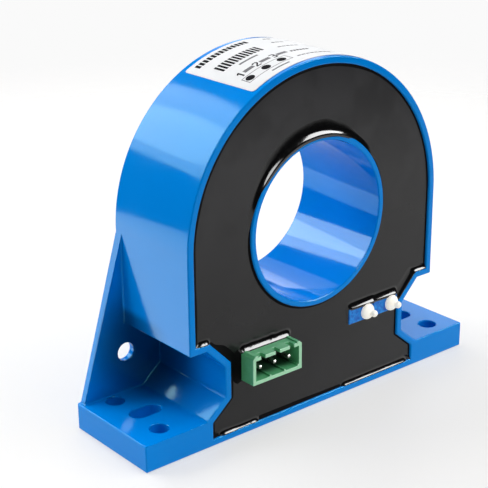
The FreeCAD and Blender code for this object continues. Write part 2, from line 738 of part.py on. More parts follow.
def build_chip(name, centre):
    """Make one eight-lead chip lying flat on the board."""
    body = new_body(name)
    case = Outline(body, "XZ_Plane")
    case.rectangle("0", "0", "chip_wide", "chip_high")
    solid = case.pad("chip_thick")
    chamfer_edges(body, solid, "chip_lead", lambda spot: (
        near(spot.y, -number("chip_thick")) and near(spot.x, -number("chip_wide / 2"))))
    leads = Outline(body, "XZ_Plane")
    for row in range(4):
        leads.rectangle("0", f"({row} - 1.5) * chip_pitch", "chip_span", "chip_lead")
    leads.pad("chip_lead_thick")
    place(body, centre, behind("board_level"), "lower_row")
    return body


def build_diode():
    """Make the protection diode with its two end tabs."""
    body = new_body("protection_diode")
    case = Outline(body, "XZ_Plane")
    case.rectangle("0", "0", "diode_long", "diode_wide")
    case.pad("diode_thick")
    tabs = Outline(body, "XZ_Plane")
    tabs.rectangle("0", "0", "diode_long + 2 * diode_tab", "diode_tab_wide")
    tabs.pad("diode_tab")
    place(body, "diode_x", behind("board_level"), "gap_height")
    return body


def build_chip_parts():
    """Make the chip resistors and the ceramic capacitors, each kind as one group."""
    resistors = new_body("chip_resistors")
    grid = Outline(resistors, "XZ_Plane")
    for column in range(RESISTOR_COLUMNS):
        for row in range(RESISTOR_ROWS):
            grid.rectangle(
                f"{column} * (resistor_long + part_gap)", f"({row} - 1) * (resistor_wide + resistor_gap)",
                "resistor_long", "resistor_wide")
    grid.pad("resistor_thick")
    place(resistors, "resistor_x", behind("board_level"), "lower_row")
    ceramics = new_body("ceramic_capacitors")
    column = Outline(ceramics, "XZ_Plane")
    for row in range(CERAMIC_COUNT):
        column.rectangle("0", f"({row} - 1) * (ceramic_wide + ceramic_gap)", "ceramic_long", "ceramic_wide")
    column.pad("ceramic_thick")
    place(ceramics, "ceramic_x", behind("board_level"), "header_middle")
    return [resistors, ceramics]


def build_resin(housing, embedded):
    """Fill the housing with potting resin, up to its level and round everything inside."""
    blank = doc.addObject("PartDesign::Body", "resin_blank")
    outline = front_outline(blank, "resin_level")
    draw_body_outline(outline)
    outline.circle("0", "window_height", "window_bore + tube_wall")
    outline.pad("body_depth - resin_level - wall / 2", backward=True)
    mouth = doc.addObject("Part::Box", "header_mouth_space")
    bind(
        mouth, Length="3 * pole_pitch", Width="header_long - header_floor",
        Height="header_high - header_ridge_high - 2 * header_wall")
    place(mouth, "header_x - 1.5 * pole_pitch", behind("header_mouth"), "header_bottom + header_wall")
    inside = doc.addObject("Part::MultiFuse", "resin_displaced")
    inside.Shapes = [housing, mouth] + embedded
    resin = doc.addObject("Part::Cut", "potting_resin")
    resin.Label = "potting_resin"
    resin.Base = blank
    resin.Tool = inside
    return resin


def check_document(nodes):
    """Stop if any object failed or any sub-part has no valid solid."""
    for item in doc.Objects:
        if "Invalid" in item.State or "Error" in item.State:
            raise RuntimeError(f"{item.Label} failed: {item.State}")
    for node in nodes:
        if node.Shape.isNull() or not node.Shape.isValid() or not node.Shape.Solids:
            raise RuntimeError(f"{node.Label} has no valid solid")


def write_parts(nodes):
    """Write each sub-part to a file of its own."""
    os.makedirs("parts", exist_ok=True)
    for node in nodes:
        node.Shape.exportStep(f"parts/{node.Label}.step")
        box = node.Shape.BoundBox
        print(f"{node.Label}: {len(node.Shape.Solids)} solids, {node.Shape.Volume:.1f} mm3, "
              f"{box.XMin:.2f}..{box.XMax:.2f} {box.YMin:.2f}..{box.YMax:.2f} {box.ZMin:.2f}..{box.ZMax:.2f}")


fill_sheet()
housing = build_housing()
embedded = [
    build_core(),
    build_hall_element(),
    build_hall_leads(),
    build_board(),
    build_header(),
    *[build_terminal_pin(index, pole) for index, pole in enumerate(POLES, start=1)],
    *build_trimmer("zero", "zero_trimmer_x"),
    *build_trimmer("span", "span_trimmer_x"),
    build_capacitor("input_capacitor", "input_capacitor_x"),
    build_capacitor("output_capacitor", "output_capacitor_x"),
    build_regulator(),
    build_chip("amplifier_chip", "amplifier_x"),
    build_chip("driver_chip", "driver_x"),
    build_diode(),
    *build_chip_parts(),
]
doc.recompute()
resin = build_resin(housing, embedded)
label = build_label()
doc.recompute()
nodes = [housing, resin, *embedded, label]
check_document(nodes)
write_parts(nodes)
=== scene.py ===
"""Studio picture of a potted current transmitter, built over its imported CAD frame.

Sizes are written in millimetres and turned into metres as the vertices are made. X runs to the
right of the potted front, Y runs from the front to the back and Z is up.
"""

import logging
import math
from collections.abc import Callable, Iterable, Sequence
from dataclasses import dataclass, field
from enum import Enum

import bmesh
import bpy
from mathutils import Matrix, Vector, noise

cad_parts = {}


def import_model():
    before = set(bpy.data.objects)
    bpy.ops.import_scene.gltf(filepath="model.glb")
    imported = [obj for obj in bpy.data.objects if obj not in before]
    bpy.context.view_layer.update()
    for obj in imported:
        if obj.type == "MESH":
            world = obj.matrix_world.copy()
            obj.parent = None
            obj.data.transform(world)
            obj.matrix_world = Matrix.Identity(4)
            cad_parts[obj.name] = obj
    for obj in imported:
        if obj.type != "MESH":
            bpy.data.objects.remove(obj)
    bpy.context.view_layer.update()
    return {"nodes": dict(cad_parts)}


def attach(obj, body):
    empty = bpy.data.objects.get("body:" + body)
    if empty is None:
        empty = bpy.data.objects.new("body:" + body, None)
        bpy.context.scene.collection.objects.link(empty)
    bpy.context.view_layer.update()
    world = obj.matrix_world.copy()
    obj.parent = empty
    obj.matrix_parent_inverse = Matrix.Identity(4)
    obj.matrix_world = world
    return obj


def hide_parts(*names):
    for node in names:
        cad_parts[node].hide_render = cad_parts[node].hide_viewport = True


LOG = logging.getLogger("transmitter")

MM = 0.001
BODY = "root"
TOUCH = 0.004
SIDES = (-1, 1)
NO_CORNER = math.radians(85)
FLAT_FOLD = math.radians(0.2)
SHARP_FOLD = math.radians(25)
SPIN_STEPS = 32
SORT_WAY = Vector((1.0, 0.6180339, 0.2718281))

Flat = tuple[float, float]
Spot = tuple[float, float, float]
Colour = tuple[float, float, float]
Test = Callable[[Vector], bool]


def linear(red: int, green: int, blue: int) -> Colour:
    """Turn a display colour into the linear values that a shader takes.

    Args:
        red: Red from 0 to 255.
        green: Green from 0 to 255.
        blue: Blue from 0 to 255.

    Returns:
        The three linear values.
    """
    def one(part: int) -> float:
        share = part / 255
        return share / 12.92 if share <= 0.04045 else ((share + 0.055) / 1.055) ** 2.4

    return one(red), one(green), one(blue)


def near(first: float, second: float) -> bool:
    """Tell whether two lengths in millimetres are the same.

    Args:
        first: One length.
        second: The other length.

    Returns:
        True when they agree within TOUCH.
    """
    return abs(first - second) <= TOUCH


def circle(radius: float, centre: Flat, steps: int) -> list[Flat]:
    """Give the points of a circle.

    Args:
        radius: Radius of the circle.
        centre: Its centre.
        steps: How many points go round it.

    Returns:
        The points, anticlockwise.
    """
    turns = [2 * math.pi * step / steps for step in range(steps)]
    return [(centre[0] + radius * math.cos(turn), centre[1] + radius * math.sin(turn)) for turn in turns]


def arc(radius: float, centre: Flat, start: float, end: float, steps: int) -> list[Flat]:
    """Give the points of an arc, both ends included.

    Args:
        radius: Radius of the arc.
        centre: Its centre.
        start: Angle of the first point in degrees, anticlockwise from the first axis.
        end: Angle of the last point.
        steps: How many steps divide the arc.

    Returns:
        The points in order.
    """
    turns = [math.radians(start + (end - start) * step / steps) for step in range(steps + 1)]
    return [(centre[0] + radius * math.cos(turn), centre[1] + radius * math.sin(turn)) for turn in turns]


def ease(value: float, low: float, high: float) -> float:
    """Rise smoothly from 0 to 1.

    Args:
        value: The value to look at.
        low: Value up to which 0 is given.
        high: Value from which 1 is given.

    Returns:
        The share from 0 to 1.
    """
    share = min(max((value - low) / (high - low), 0.0), 1.0)
    return share * share * (3 - 2 * share)


def offset(outline: Sequence[Flat], inward: float) -> list[Flat]:
    """Move every side of an anticlockwise outline inward by the same distance.

    Args:
        outline: The corners of the outline.
        inward: The distance, negative to move outward.

    Returns:
        As many corners, each on the meeting of its two moved sides.
    """
    moved = []
    count = len(outline)
    for index, here in enumerate(outline):
        before = Vector(outline[index - 1])
        after = Vector(outline[(index + 1) % count])
        middle = Vector(here)
        come = (middle - before).normalized()
        leave = (after - middle).normalized()
        side_come = Vector((-come.y, come.x))
        side_leave = Vector((-leave.y, leave.x))
        across = side_come + side_leave
        spot = middle + across * (inward * 2 / across.length_squared)
        moved.append((spot.x, spot.y))
    return moved


def rounded(outline: Sequence[Flat], radius: float, steps: int = 5) -> list[Flat]:
    """Round every corner of an outline that turns.

    Args:
        outline: The corners of the outline.
        radius: Radius at each corner.
        steps: How many steps divide each rounding.

    Returns:
        The rounded outline.
    """
    points: list[Flat] = []
    count = len(outline)
    for index, here in enumerate(outline):
        middle = Vector(here)
        come = (Vector(outline[index - 1]) - middle).normalized()
        leave = (Vector(outline[(index + 1) % count]) - middle).normalized()
        half = come.angle(leave) / 2
        if half > NO_CORNER:
            points.append(here)
            continue
        run = radius / math.tan(half)
        start = middle + come * run
        end = middle + leave * run
        for step in range(steps + 1):
            share = step / steps
            bend = (1 - share) ** 2 * start + 2 * share * (1 - share) * middle + share ** 2 * end
            points.append((bend.x, bend.y))
    return points


class Plane(Enum):
    """The plane in which a flat outline is drawn."""

    FRONT = "front"
    LEVEL = "level"

    def lift(self, outline: Iterable[Flat], place: float) -> list[Spot]:
        """Set an outline into space.

        Args:
            outline: The flat points.
            place: Y of a front outline, or Z of a level one.

        Returns:
            The points in space.
        """
        if self is Plane.FRONT:
            return [(a, place, b) for a, b in outline]
        return [(a, b, place) for a, b in outline]


class Form:
    """A mesh that is modelled with Blender's own edit operators."""

    def __init__(self, name: str) -> None:
        """Start an empty mesh and open it for editing.

        Args:
            name: Name of the object.
        """
        self.thing = bpy.data.objects.new(name, bpy.data.meshes.new(name))
        bpy.context.scene.collection.objects.link(self.thing)
        self.open()

    def open(self) -> None:
        """Make this the only selected object and go to edit mode."""
        bpy.ops.object.select_all(action="DESELECT")
        self.thing.select_set(True)
        bpy.context.view_layer.objects.active = self.thing
        bpy.ops.object.mode_set(mode="EDIT")
        bpy.ops.mesh.select_mode(type="VERT")

    def close(self) -> bpy.types.Object:
        """Leave edit mode.

        Returns:
            The object.
        """
        bpy.ops.object.mode_set(mode="OBJECT")
        return self.thing

    def _mesh(self) -> bmesh.types.BMesh:
        return bmesh.from_edit_mesh(self.thing.data)

    def loop(self, spots: Sequence[Spot]) -> None:
        """Add a closed loop of edges and leave only it selected.

        Args:
            spots: The points of the loop in millimetres.
        """
        bpy.ops.mesh.select_mode(type="VERT")
        bpy.ops.mesh.select_all(action="DESELECT")
        mesh = self._mesh()
        made = [mesh.verts.new(Vector(spot) * MM) for spot in spots]
        for index, vertex in enumerate(made):
            mesh.edges.new((made[index - 1], vertex)).select = True
            vertex.select = True
        mesh.select_flush_mode()
        bmesh.update_edit_mesh(self.thing.data)

    def sweep(self, rings: Sequence[Sequence[Spot]]) -> None:
        """Extrude a loop of edges from ring to ring and join the last ring to the first.

        Args:
            rings: The rings, with as many points each.
        """
        first = len(self._mesh().verts)
        mark = self._mesh().verts.layers.int.new("mark")
        self.loop(rings[0])
        mesh = self._mesh()
        mesh.verts.ensure_lookup_table()
        for step in range(len(rings[0])):
            mesh.verts[first + step][mark] = step
        for ring in (*rings[1:], rings[0]):
            bpy.ops.mesh.extrude_edges_move()
            mesh = self._mesh()
            mark = mesh.verts.layers.int["mark"]
            for vertex in mesh.verts:
                if vertex.select:
                    vertex.co = Vector(ring[vertex[mark]]) * MM
            bmesh.update_edit_mesh(self.thing.data)

    def extrude(self, move: Spot) -> None:
        """Extrude the selection.

        Args:
            move: How far it goes, in millimetres.
        """
        bpy.ops.mesh.extrude_region_move(
            TRANSFORM_OT_translate={"value": tuple(part * MM for part in move)})

    def tube(self, spots: Sequence[Spot], move: Spot) -> None:
        """Add a loop and extrude it into a wall.

        Args:
            spots: The points of the loop.
            move: How far the wall goes.
        """
        self.loop(spots)
        self.extrude(move)

    def order(self) -> None:
        """Sort all elements by place, because Blender leaves them in another order in each run."""
        mesh = self._mesh()
        mesh.verts.sort(key=lambda vertex: vertex.co.dot(SORT_WAY))
        mesh.edges.sort(key=lambda edge: (edge.verts[0].co + edge.verts[1].co).dot(SORT_WAY))
        mesh.faces.sort(key=lambda face: face.calc_center_median().dot(SORT_WAY))
        bmesh.update_edit_mesh(self.thing.data)

    def _select(self, kind: str, wanted: Callable[[object], bool]) -> bool:
        self.order()
        bpy.ops.mesh.select_mode(type=kind)
        bpy.ops.mesh.select_all(action="DESELECT")
        mesh = self._mesh()
        parts = mesh.edges if kind == "EDGE" else mesh.faces
        chosen = [part for part in parts if wanted(part)]
        for part in chosen:
            part.select = True
        mesh.select_flush_mode()
        bmesh.update_edit_mesh(self.thing.data)
        return bool(chosen)

    def delete_faces(self, where: Test) -> None:
        """Take away the faces that pass a test and keep their edges.

        Args:
            where: The test, which is given the middle of a face in millimetres.
        """
        if self._select("FACE", lambda face: where(face.calc_center_median() / MM)):
            bpy.ops.mesh.delete(type="ONLY_FACE")

    def fill(self, where: Test) -> None:
        """Close the flat area between the open loops that pass a test.

        Args:
            where: The test, which is given an end of an edge in millimetres.
        """
        self._select("EDGE", lambda edge: len(edge.link_faces) < 2 and all(
            where(end.co / MM) for end in edge.verts))
        bpy.ops.mesh.fill(use_beauty=False)

    def merge(self) -> None:
        """Merge the points that touch and leave everything selected."""
        bpy.ops.mesh.select_mode(type="VERT")
        bpy.ops.mesh.select_all(action="SELECT")
        bpy.ops.mesh.remove_doubles(threshold=TOUCH * MM)

    def settle(self, flatten: bool = True) -> None:
        """Merge doubles, join faces that lie in one plane and turn the normals outward.

        Args:
            flatten: Join the faces that lie in one plane.
        """
        self.merge()
        bpy.ops.mesh.delete_loose(use_verts=True, use_edges=True, use_faces=False)
        self.order()
        bpy.ops.mesh.select_all(action="SELECT")
        if flatten:
            bpy.ops.mesh.dissolve_limited(angle_limit=FLAT_FOLD)
        self.order()
        bpy.ops.mesh.select_all(action="SELECT")
        bpy.ops.mesh.normals_make_consistent(inside=False)

    def cut(self, place: Spot, facing: Spot, **side: bool) -> None:
        """Cut the whole mesh along a plane.

        Args:
            place: A point of the plane in millimetres.
            facing: The direction that the plane faces.
            side: What is taken away and filled, by the names that Blender's bisect uses.
        """
        bpy.ops.mesh.select_all(action="SELECT")
        bpy.ops.mesh.bisect(plane_co=tuple(part * MM for part in place), plane_no=facing, **side)

    def spin(self, profile: Sequence[Flat], centre: Spot) -> None:
        """Add a profile and spin it about an axis that runs to the front.

        Args:
            profile: Radius and distance to the front, from the axis to the axis.
            centre: The point of the axis at distance 0.
        """
        bpy.ops.mesh.select_mode(type="VERT")
        bpy.ops.mesh.select_all(action="DESELECT")
        mesh = self._mesh()
        line = [
            mesh.verts.new(Vector((centre[0] + radius, centre[1] - ahead, centre[2])) * MM)
            for radius, ahead in profile]
        for vertex in line:
            vertex.select = True
        for first, second in zip(line, line[1:]):
            mesh.edges.new((first, second)).select = True
        bmesh.update_edit_mesh(self.thing.data)
        bpy.ops.mesh.spin(
            steps=SPIN_STEPS, angle=2 * math.pi, center=tuple(part * MM for part in centre), axis=(0, 1, 0))

    def modify(self, kind: str, **settings: object) -> None:
        """Add a modifier to the closed form and apply it.

        Args:
            kind: Blender's name for the modifier type.
            settings: Its properties.
        """
        modifier = self.thing.modifiers.new(kind, kind)
        for name, value in settings.items():
            setattr(modifier, name, value)
        bpy.ops.object.modifier_apply(modifier=modifier.name)

    def finish(self, softened: float = 0.0) -> bpy.types.Object:
        """Close the form, round what is still sharp and shade it smooth.

        Args:
            softened: Width of the last rounding in millimetres, or 0 for none.

        Returns:
            The finished object.
        """
        thing = self.close()
        bpy.ops.object.shade_smooth()
        if softened:
            self.modify(
                "BEVEL", width=softened * MM, segments=3, limit_method="ANGLE", angle_limit=SHARP_FOLD,
                harden_normals=True, use_clamp_overlap=False)
        self.modify("WEIGHTED_NORMAL", keep_sharp=True)
        return thing


class Wire:
    """An output in a node tree, so that shader maths reads like arithmetic."""

    def __init__(self, net: "Net", socket: bpy.types.NodeSocket) -> None:
        """Keep the output and the tree that it is in.

        Args:
            net: The tree.
            socket: The output.
        """
        self.net = net
        self.socket = socket

    def _combine(self, operation: str, first: object, second: object) -> "Wire":
        vector = any(isinstance(part, Wire) and part.socket.type == "VECTOR" for part in (first, second))
        kind = "ShaderNodeVectorMath" if vector else "ShaderNodeMath"
        return self.net.node(kind, {"operation": operation}, {0: first, 1: second})

    def __add__(self, other: object) -> "Wire":
        return self._combine("ADD", self, other)

    def __sub__(self, other: object) -> "Wire":
        return self._combine("SUBTRACT", self, other)

    def __rsub__(self, other: object) -> "Wire":
        return self._combine("SUBTRACT", other, self)

    def __mul__(self, other: object) -> "Wire":
        return self._combine("MULTIPLY", self, other)

    def __abs__(self) -> "Wire":
        return self.net.node("ShaderNodeMath", {"operation": "ABSOLUTE"}, {0: self})

    def length(self) -> "Wire":
        """Measure this vector.

        Returns:
            Its length.
        """
        return self.net.node("ShaderNodeVectorMath", {"operation": "LENGTH"}, {0: self}, "Value")

    def ramp(self, low: float, high: float, start: float = 0.0, end: float = 1.0) -> "Wire":
        """Move smoothly from one value to another.

        Args:
            low: Value of this output at which the change starts.
            high: Value at which it ends.
            start: What is given up to low.
            end: What is given from high on.

        Returns:
            The new output.
        """
        return self.net.node(
            "ShaderNodeMapRange", {"interpolation_type": "SMOOTHSTEP"},
            {"Value": self, "From Min": low, "From Max": high, "To Min": start, "To Max": end})

    def blend(self, first: object, second: object) -> "Wire":
        """Mix two colours by this output.

        Args:
            first: The colour at 0.
            second: The colour at 1.

        Returns:
            The mixed colour.
        """
        return self.net.node(
            "ShaderNodeMix", {"data_type": "RGBA"}, {"Factor": self, 6: first, 7: second}, 2)


class Net:
    """A node tree that is filled through one helper."""

    def __init__(self, tree: bpy.types.NodeTree) -> None:
        """Empty the tree.

        Args:
            tree: The tree of a material or a world.
        """
        self.tree = tree
        tree.nodes.clear()

    def node(
        self,
        kind: str,
        settings: dict[str, object] | None = None,
        inputs: dict[str | int, object] | None = None,
        output: str | int = 0,
    ) -> Wire:
        """Add a node, set it and join its inputs.

        Args:
            kind: Blender's name for the node type.
            settings: Properties of the node.
            inputs: What each input gets: an output, a number, a colour or a vector.
            output: Which output is wanted.

        Returns:
            That output.
        """
        made = self.tree.nodes.new(kind)
        for name, value in (settings or {}).items():
            setattr(made, name, value)
        for name, value in (inputs or {}).items():
            if isinstance(value, Wire):
                self.tree.links.new(value.socket, made.inputs[name])
            else:
                made.inputs[name].default_value = self._fit(made.inputs[name], value)
        return Wire(self, made.outputs[output] if made.outputs else made.inputs[0])

    @staticmethod
    def _fit(socket: bpy.types.NodeSocket, value: object) -> object:
        if socket.type == "RGBA" and len(value) == 3:
            return (*value, 1.0)
        return value

    def place(self) -> Wire:
        """Give the place on the object.

        Returns:
            The object coordinates.
        """
        return self.node("ShaderNodeTexCoord", output="Object")

    def millimetres(self) -> list[Wire]:
        """Give the place on the object in millimetres.

        Returns:
            X, Y and Z.
        """
        scaled = self.place() * (1 / MM, 1 / MM, 1 / MM)
        split = self.node("ShaderNodeSeparateXYZ", {}, {0: scaled})
        return [Wire(self, part) for part in split.socket.node.outputs]

    def noise(self, scale: float, detail: float = 2.0, roughness: float = 0.5) -> Wire:
        """Give a noise in space.

        Args:
            scale: How many waves fit in a metre.
            detail: How many finer layers it has.
            roughness: How strong the finer layers are.

        Returns:
            The noise, from 0 to 1.
        """
        return self.node(
            "ShaderNodeTexNoise", {},
            {"Vector": self.place(), "Scale": scale, "Detail": detail, "Roughness": roughness})

    def bump(self, height: Wire, strength: float, distance: float) -> Wire:
        """Turn a height into a normal.

        Args:
            height: The height, from 0 to 1.
            strength: How much of it is used.
            distance: What 1 stands for, in millimetres.

        Returns:
            The normal.
        """
        return self.node(
            "ShaderNodeBump", {}, {"Height": height, "Strength": strength, "Distance": distance * MM})

    def principled(self, inputs: dict[str | int, object]) -> Wire:
        """End the tree in a Principled surface.

        Args:
            inputs: Its inputs.

        Returns:
            The surface.
        """
        surface = self.node("ShaderNodeBsdfPrincipled", {}, inputs)
        self.node("ShaderNodeOutputMaterial", {}, {"Surface": surface})
        return surface

NOISE_RANGE = (0.3, 0.7)
FINER = 2.3
GLOSSIEST = 0.02
@dataclass(frozen=True)
class Finish:
    """A finish with slight changes of colour, gloss and level over its surface."""

    name: str
    colour: Colour
    other: Colour
    roughness: float = 0.3
    scatter: float = 0.08
    patch: float = 60.0
    grain: float = 900.0
    relief: float = 0.01
    strength: float = 0.3
    metallic: float = 0.0
    ior: float = 1.5
    tint: Colour = (1.0, 1.0, 1.0)
    coat: float = 0.0
    coat_roughness: float = 0.05
    painted_glow: float = 0.0

    def fine_grain(self, net: Net) -> Wire:
        """Give the fine grain of the surface.

        Args:
            net: The tree to build in.

        Returns:
            Its height, from 0 to 1.
        """
        return net.noise(self.grain, 2.0, 0.5)

    def surface(self, net: Net) -> dict[str | int, object]:
        """Build the inputs of the surface.

        Args:
            net: The tree to build in.

        Returns:
            What goes into each input of the surface.
        """
        patches = net.noise(self.patch, 3.0, 0.6).ramp(*NOISE_RANGE)
        glossy = max(self.roughness - self.scatter, GLOSSIEST)
        dull = self.roughness + self.scatter
        return {
            "Base Color": patches.blend(self.colour, self.other),
            "Roughness": net.noise(self.patch * FINER, 3.0, 0.6).ramp(*NOISE_RANGE, glossy, dull),
            "Metallic": self.metallic,
            "IOR": self.ior,
            "Specular Tint": self.tint,
            "Coat Weight": self.coat,
            "Coat Roughness": self.coat_roughness,
            # Painted glow: a finish that is given a glow strength shines in its own colour though it is no
            # lamp.
            "Emission Color": self.colour,
            "Emission Strength": self.painted_glow,
            "Normal": net.bump(self.fine_grain(net), self.strength, self.relief),
        }

    def material(self) -> bpy.types.Material:
        """Make the material.

        Returns:
            The material.
        """
        made = bpy.data.materials.new(self.name)
        made.use_nodes = True
        net = Net(made.node_tree)
        net.principled(self.surface(net))
        return made


@dataclass(frozen=True)
class Moulding(Finish):
    """Glossy moulded plastic: a faint flow of the colour and a skin that is not quite flat."""

    wave: float = 22.0
    wave_relief: float = 0.05

    def surface(self, net: Net) -> dict[str | int, object]:
        """Build the inputs of the surface.

        Args:
            net: The tree to build in.

        Returns:
            What goes into each input of the surface.
        """
        made = super().surface(net)
        skin = net.noise(self.wave, 1.0, 0.4) * self.wave_relief + self.fine_grain(net) * self.relief
        made["Normal"] = net.bump(skin, self.strength, 1.0)
        return made


@dataclass(frozen=True)
class CoredMouldingWithPaintedShade(Moulding):
    """Moulded plastic, polished by conductors low in its bore, with painted shade in its deep recess corners.

    Places are in millimetres, and a pair says where a change starts and ends.
    """

    bore: Flat = (22.65, 22.85)
    bore_height: float = 55.0
    polish_and_painted_highlight: Flat = (49.5, 52.5)
    polish: float = 0.36
    # Painted shade: round this spot the colour of the recess corners is darkened toward shade, standing in
    # for the shade that falls there.
    corner: Spot = (38.0, 12.0, 22.0)
    painted_shade_reach: Flat = (4.0, 25.0)
    shade: Colour = linear(0, 22, 58)
    painted_shade_share: float = 0.78
    past_wall: Flat = (45.2, 45.6)
    above_foot: Flat = (31.0, 34.0)
    in_plate: Flat = (13.8, 14.4)

    def surface(self, net: Net) -> dict[str | int, object]:
        """Build the inputs of the surface.

        Args:
            net: The tree to build in.

        Returns:
            What goes into each input of the surface.
        """
        made = super().surface(net)
        across, along, up = net.millimetres()
        across = abs(across)
        from_axis = (net.place() * (1 / MM, 0.0, 1 / MM) - (0.0, 0.0, self.bore_height)).length()
        made["Coat Weight"] = from_axis.ramp(*self.bore, self.polish, 0.0) * up.ramp(*self.polish_and_painted_highlight, 1.0, 0.0)

        # Painted shade darkens the base colour near each recess corner, off the side wall and in front of the
        # rear plate.
        gaps = [part - middle for part, middle in zip((across, along, up), self.corner)]
        square = gaps[0] * gaps[0] + gaps[1] * gaps[1] + gaps[2] * gaps[2]
        start, end = self.painted_shade_reach
        deep = square.ramp(start ** 2, end ** 2, 1.0, 0.0)
        low = up.ramp(*self.above_foot, 1.0, 0.0)
        painted_shade_off_wall = low + across.ramp(*self.past_wall) * (1.0 - low)
        deep = deep * deep * self.painted_shade_share * painted_shade_off_wall * along.ramp(*self.in_plate, 1.0, 0.0)
        made["Base Color"] = deep.blend(made["Base Color"], self.shade)
        return made


@dataclass(frozen=True)
class Resin(Finish):
    """Poured resin: flat and dark, with a few pits and a painted reflection that lightens it toward the top
    in random patches.

    The painted reflection grows from one height to another, in millimetres.
    """

    pits: float = 160.0
    pit_edge: Flat = (0.02, 0.07)
    pit_depth: float = 0.03
    # Painted reflection: its colour, and where and how far it lightens the resin.
    painted_reflection: Colour = linear(54, 54, 56)
    painted_reflection_heights: Flat = (20.0, 110.0)
    painted_reflection_most: float = 0.85
    reflection_patches: float = 55.0
    reflection_patch_edge: Flat = (0.38, 0.56)
    reflection_patch_least: float = 0.55

    def surface(self, net: Net) -> dict[str | int, object]:
        """Build the inputs of the surface.

        Args:
            net: The tree to build in.

        Returns:
            What goes into each input of the surface.
        """
        made = super().surface(net)
        up = net.millimetres()[2]
        # Painted reflection: the base colour lightens toward the top in random patches, standing in for the
        # brighter floor reflected there.
        reflection_patchiness = net.noise(self.reflection_patches, 3.0).ramp(*self.reflection_patch_edge, self.reflection_patch_least, 1.0)
        painted_reflection_share = up.ramp(*self.painted_reflection_heights, 0.0, self.painted_reflection_most) * reflection_patchiness
        made["Base Color"] = painted_reflection_share.blend(made["Base Color"], self.painted_reflection)
        from_pit = net.node(
            "ShaderNodeTexVoronoi", {"feature": "F1"}, {"Vector": net.place(), "Scale": self.pits})
        relief = from_pit.ramp(*self.pit_edge) * self.pit_depth + self.fine_grain(net) * self.relief
        made["Normal"] = net.bump(relief, self.strength, 1.0)
        return made


@dataclass(frozen=True)
class Socket(Moulding):
    """Moulded plastic with a painted highlight on its front rim and painted shade in the depth of its mouth.

    Places are in millimetres.
    """

    rim: float = -20.4
    mouth: tuple[float, float, float, float] = (-26.7, 17.3, -11.5, 23.2)
    mouth_depth: Flat = (-19.2, -15.8)
    edge: float = 0.2
    # Colours of the painted shade deep in the mouth and of the painted highlight on the front rim.
    deep: Colour = linear(18, 44, 32)
    polish_and_painted_highlight: Colour = linear(158, 216, 176)

    def surface(self, net: Net) -> dict[str | int, object]:
        """Build the inputs of the surface.

        Args:
            net: The tree to build in.

        Returns:
            What goes into each input of the surface.
        """
        made = super().surface(net)
        across, along, up = net.millimetres()
        left, low, right, high = self.mouth
        edge, half = self.edge, self.edge / 2
        # Painted shade: the base colour darkens inside the mouth toward its depth.
        inside = across.ramp(left, left + edge) * across.ramp(right - edge, right, 1.0, 0.0)
        inside = inside * up.ramp(low - edge, low) * up.ramp(high - half, high + half, 1.0, 0.0)
        # Painted highlight: the front rim face is painted pale.
        pale = along.ramp(self.rim - half, self.rim, 1.0, 0.0).blend(made["Base Color"], self.polish_and_painted_highlight)
        made["Base Color"] = (inside * along.ramp(*self.mouth_depth)).blend(pale, self.deep)
        return made


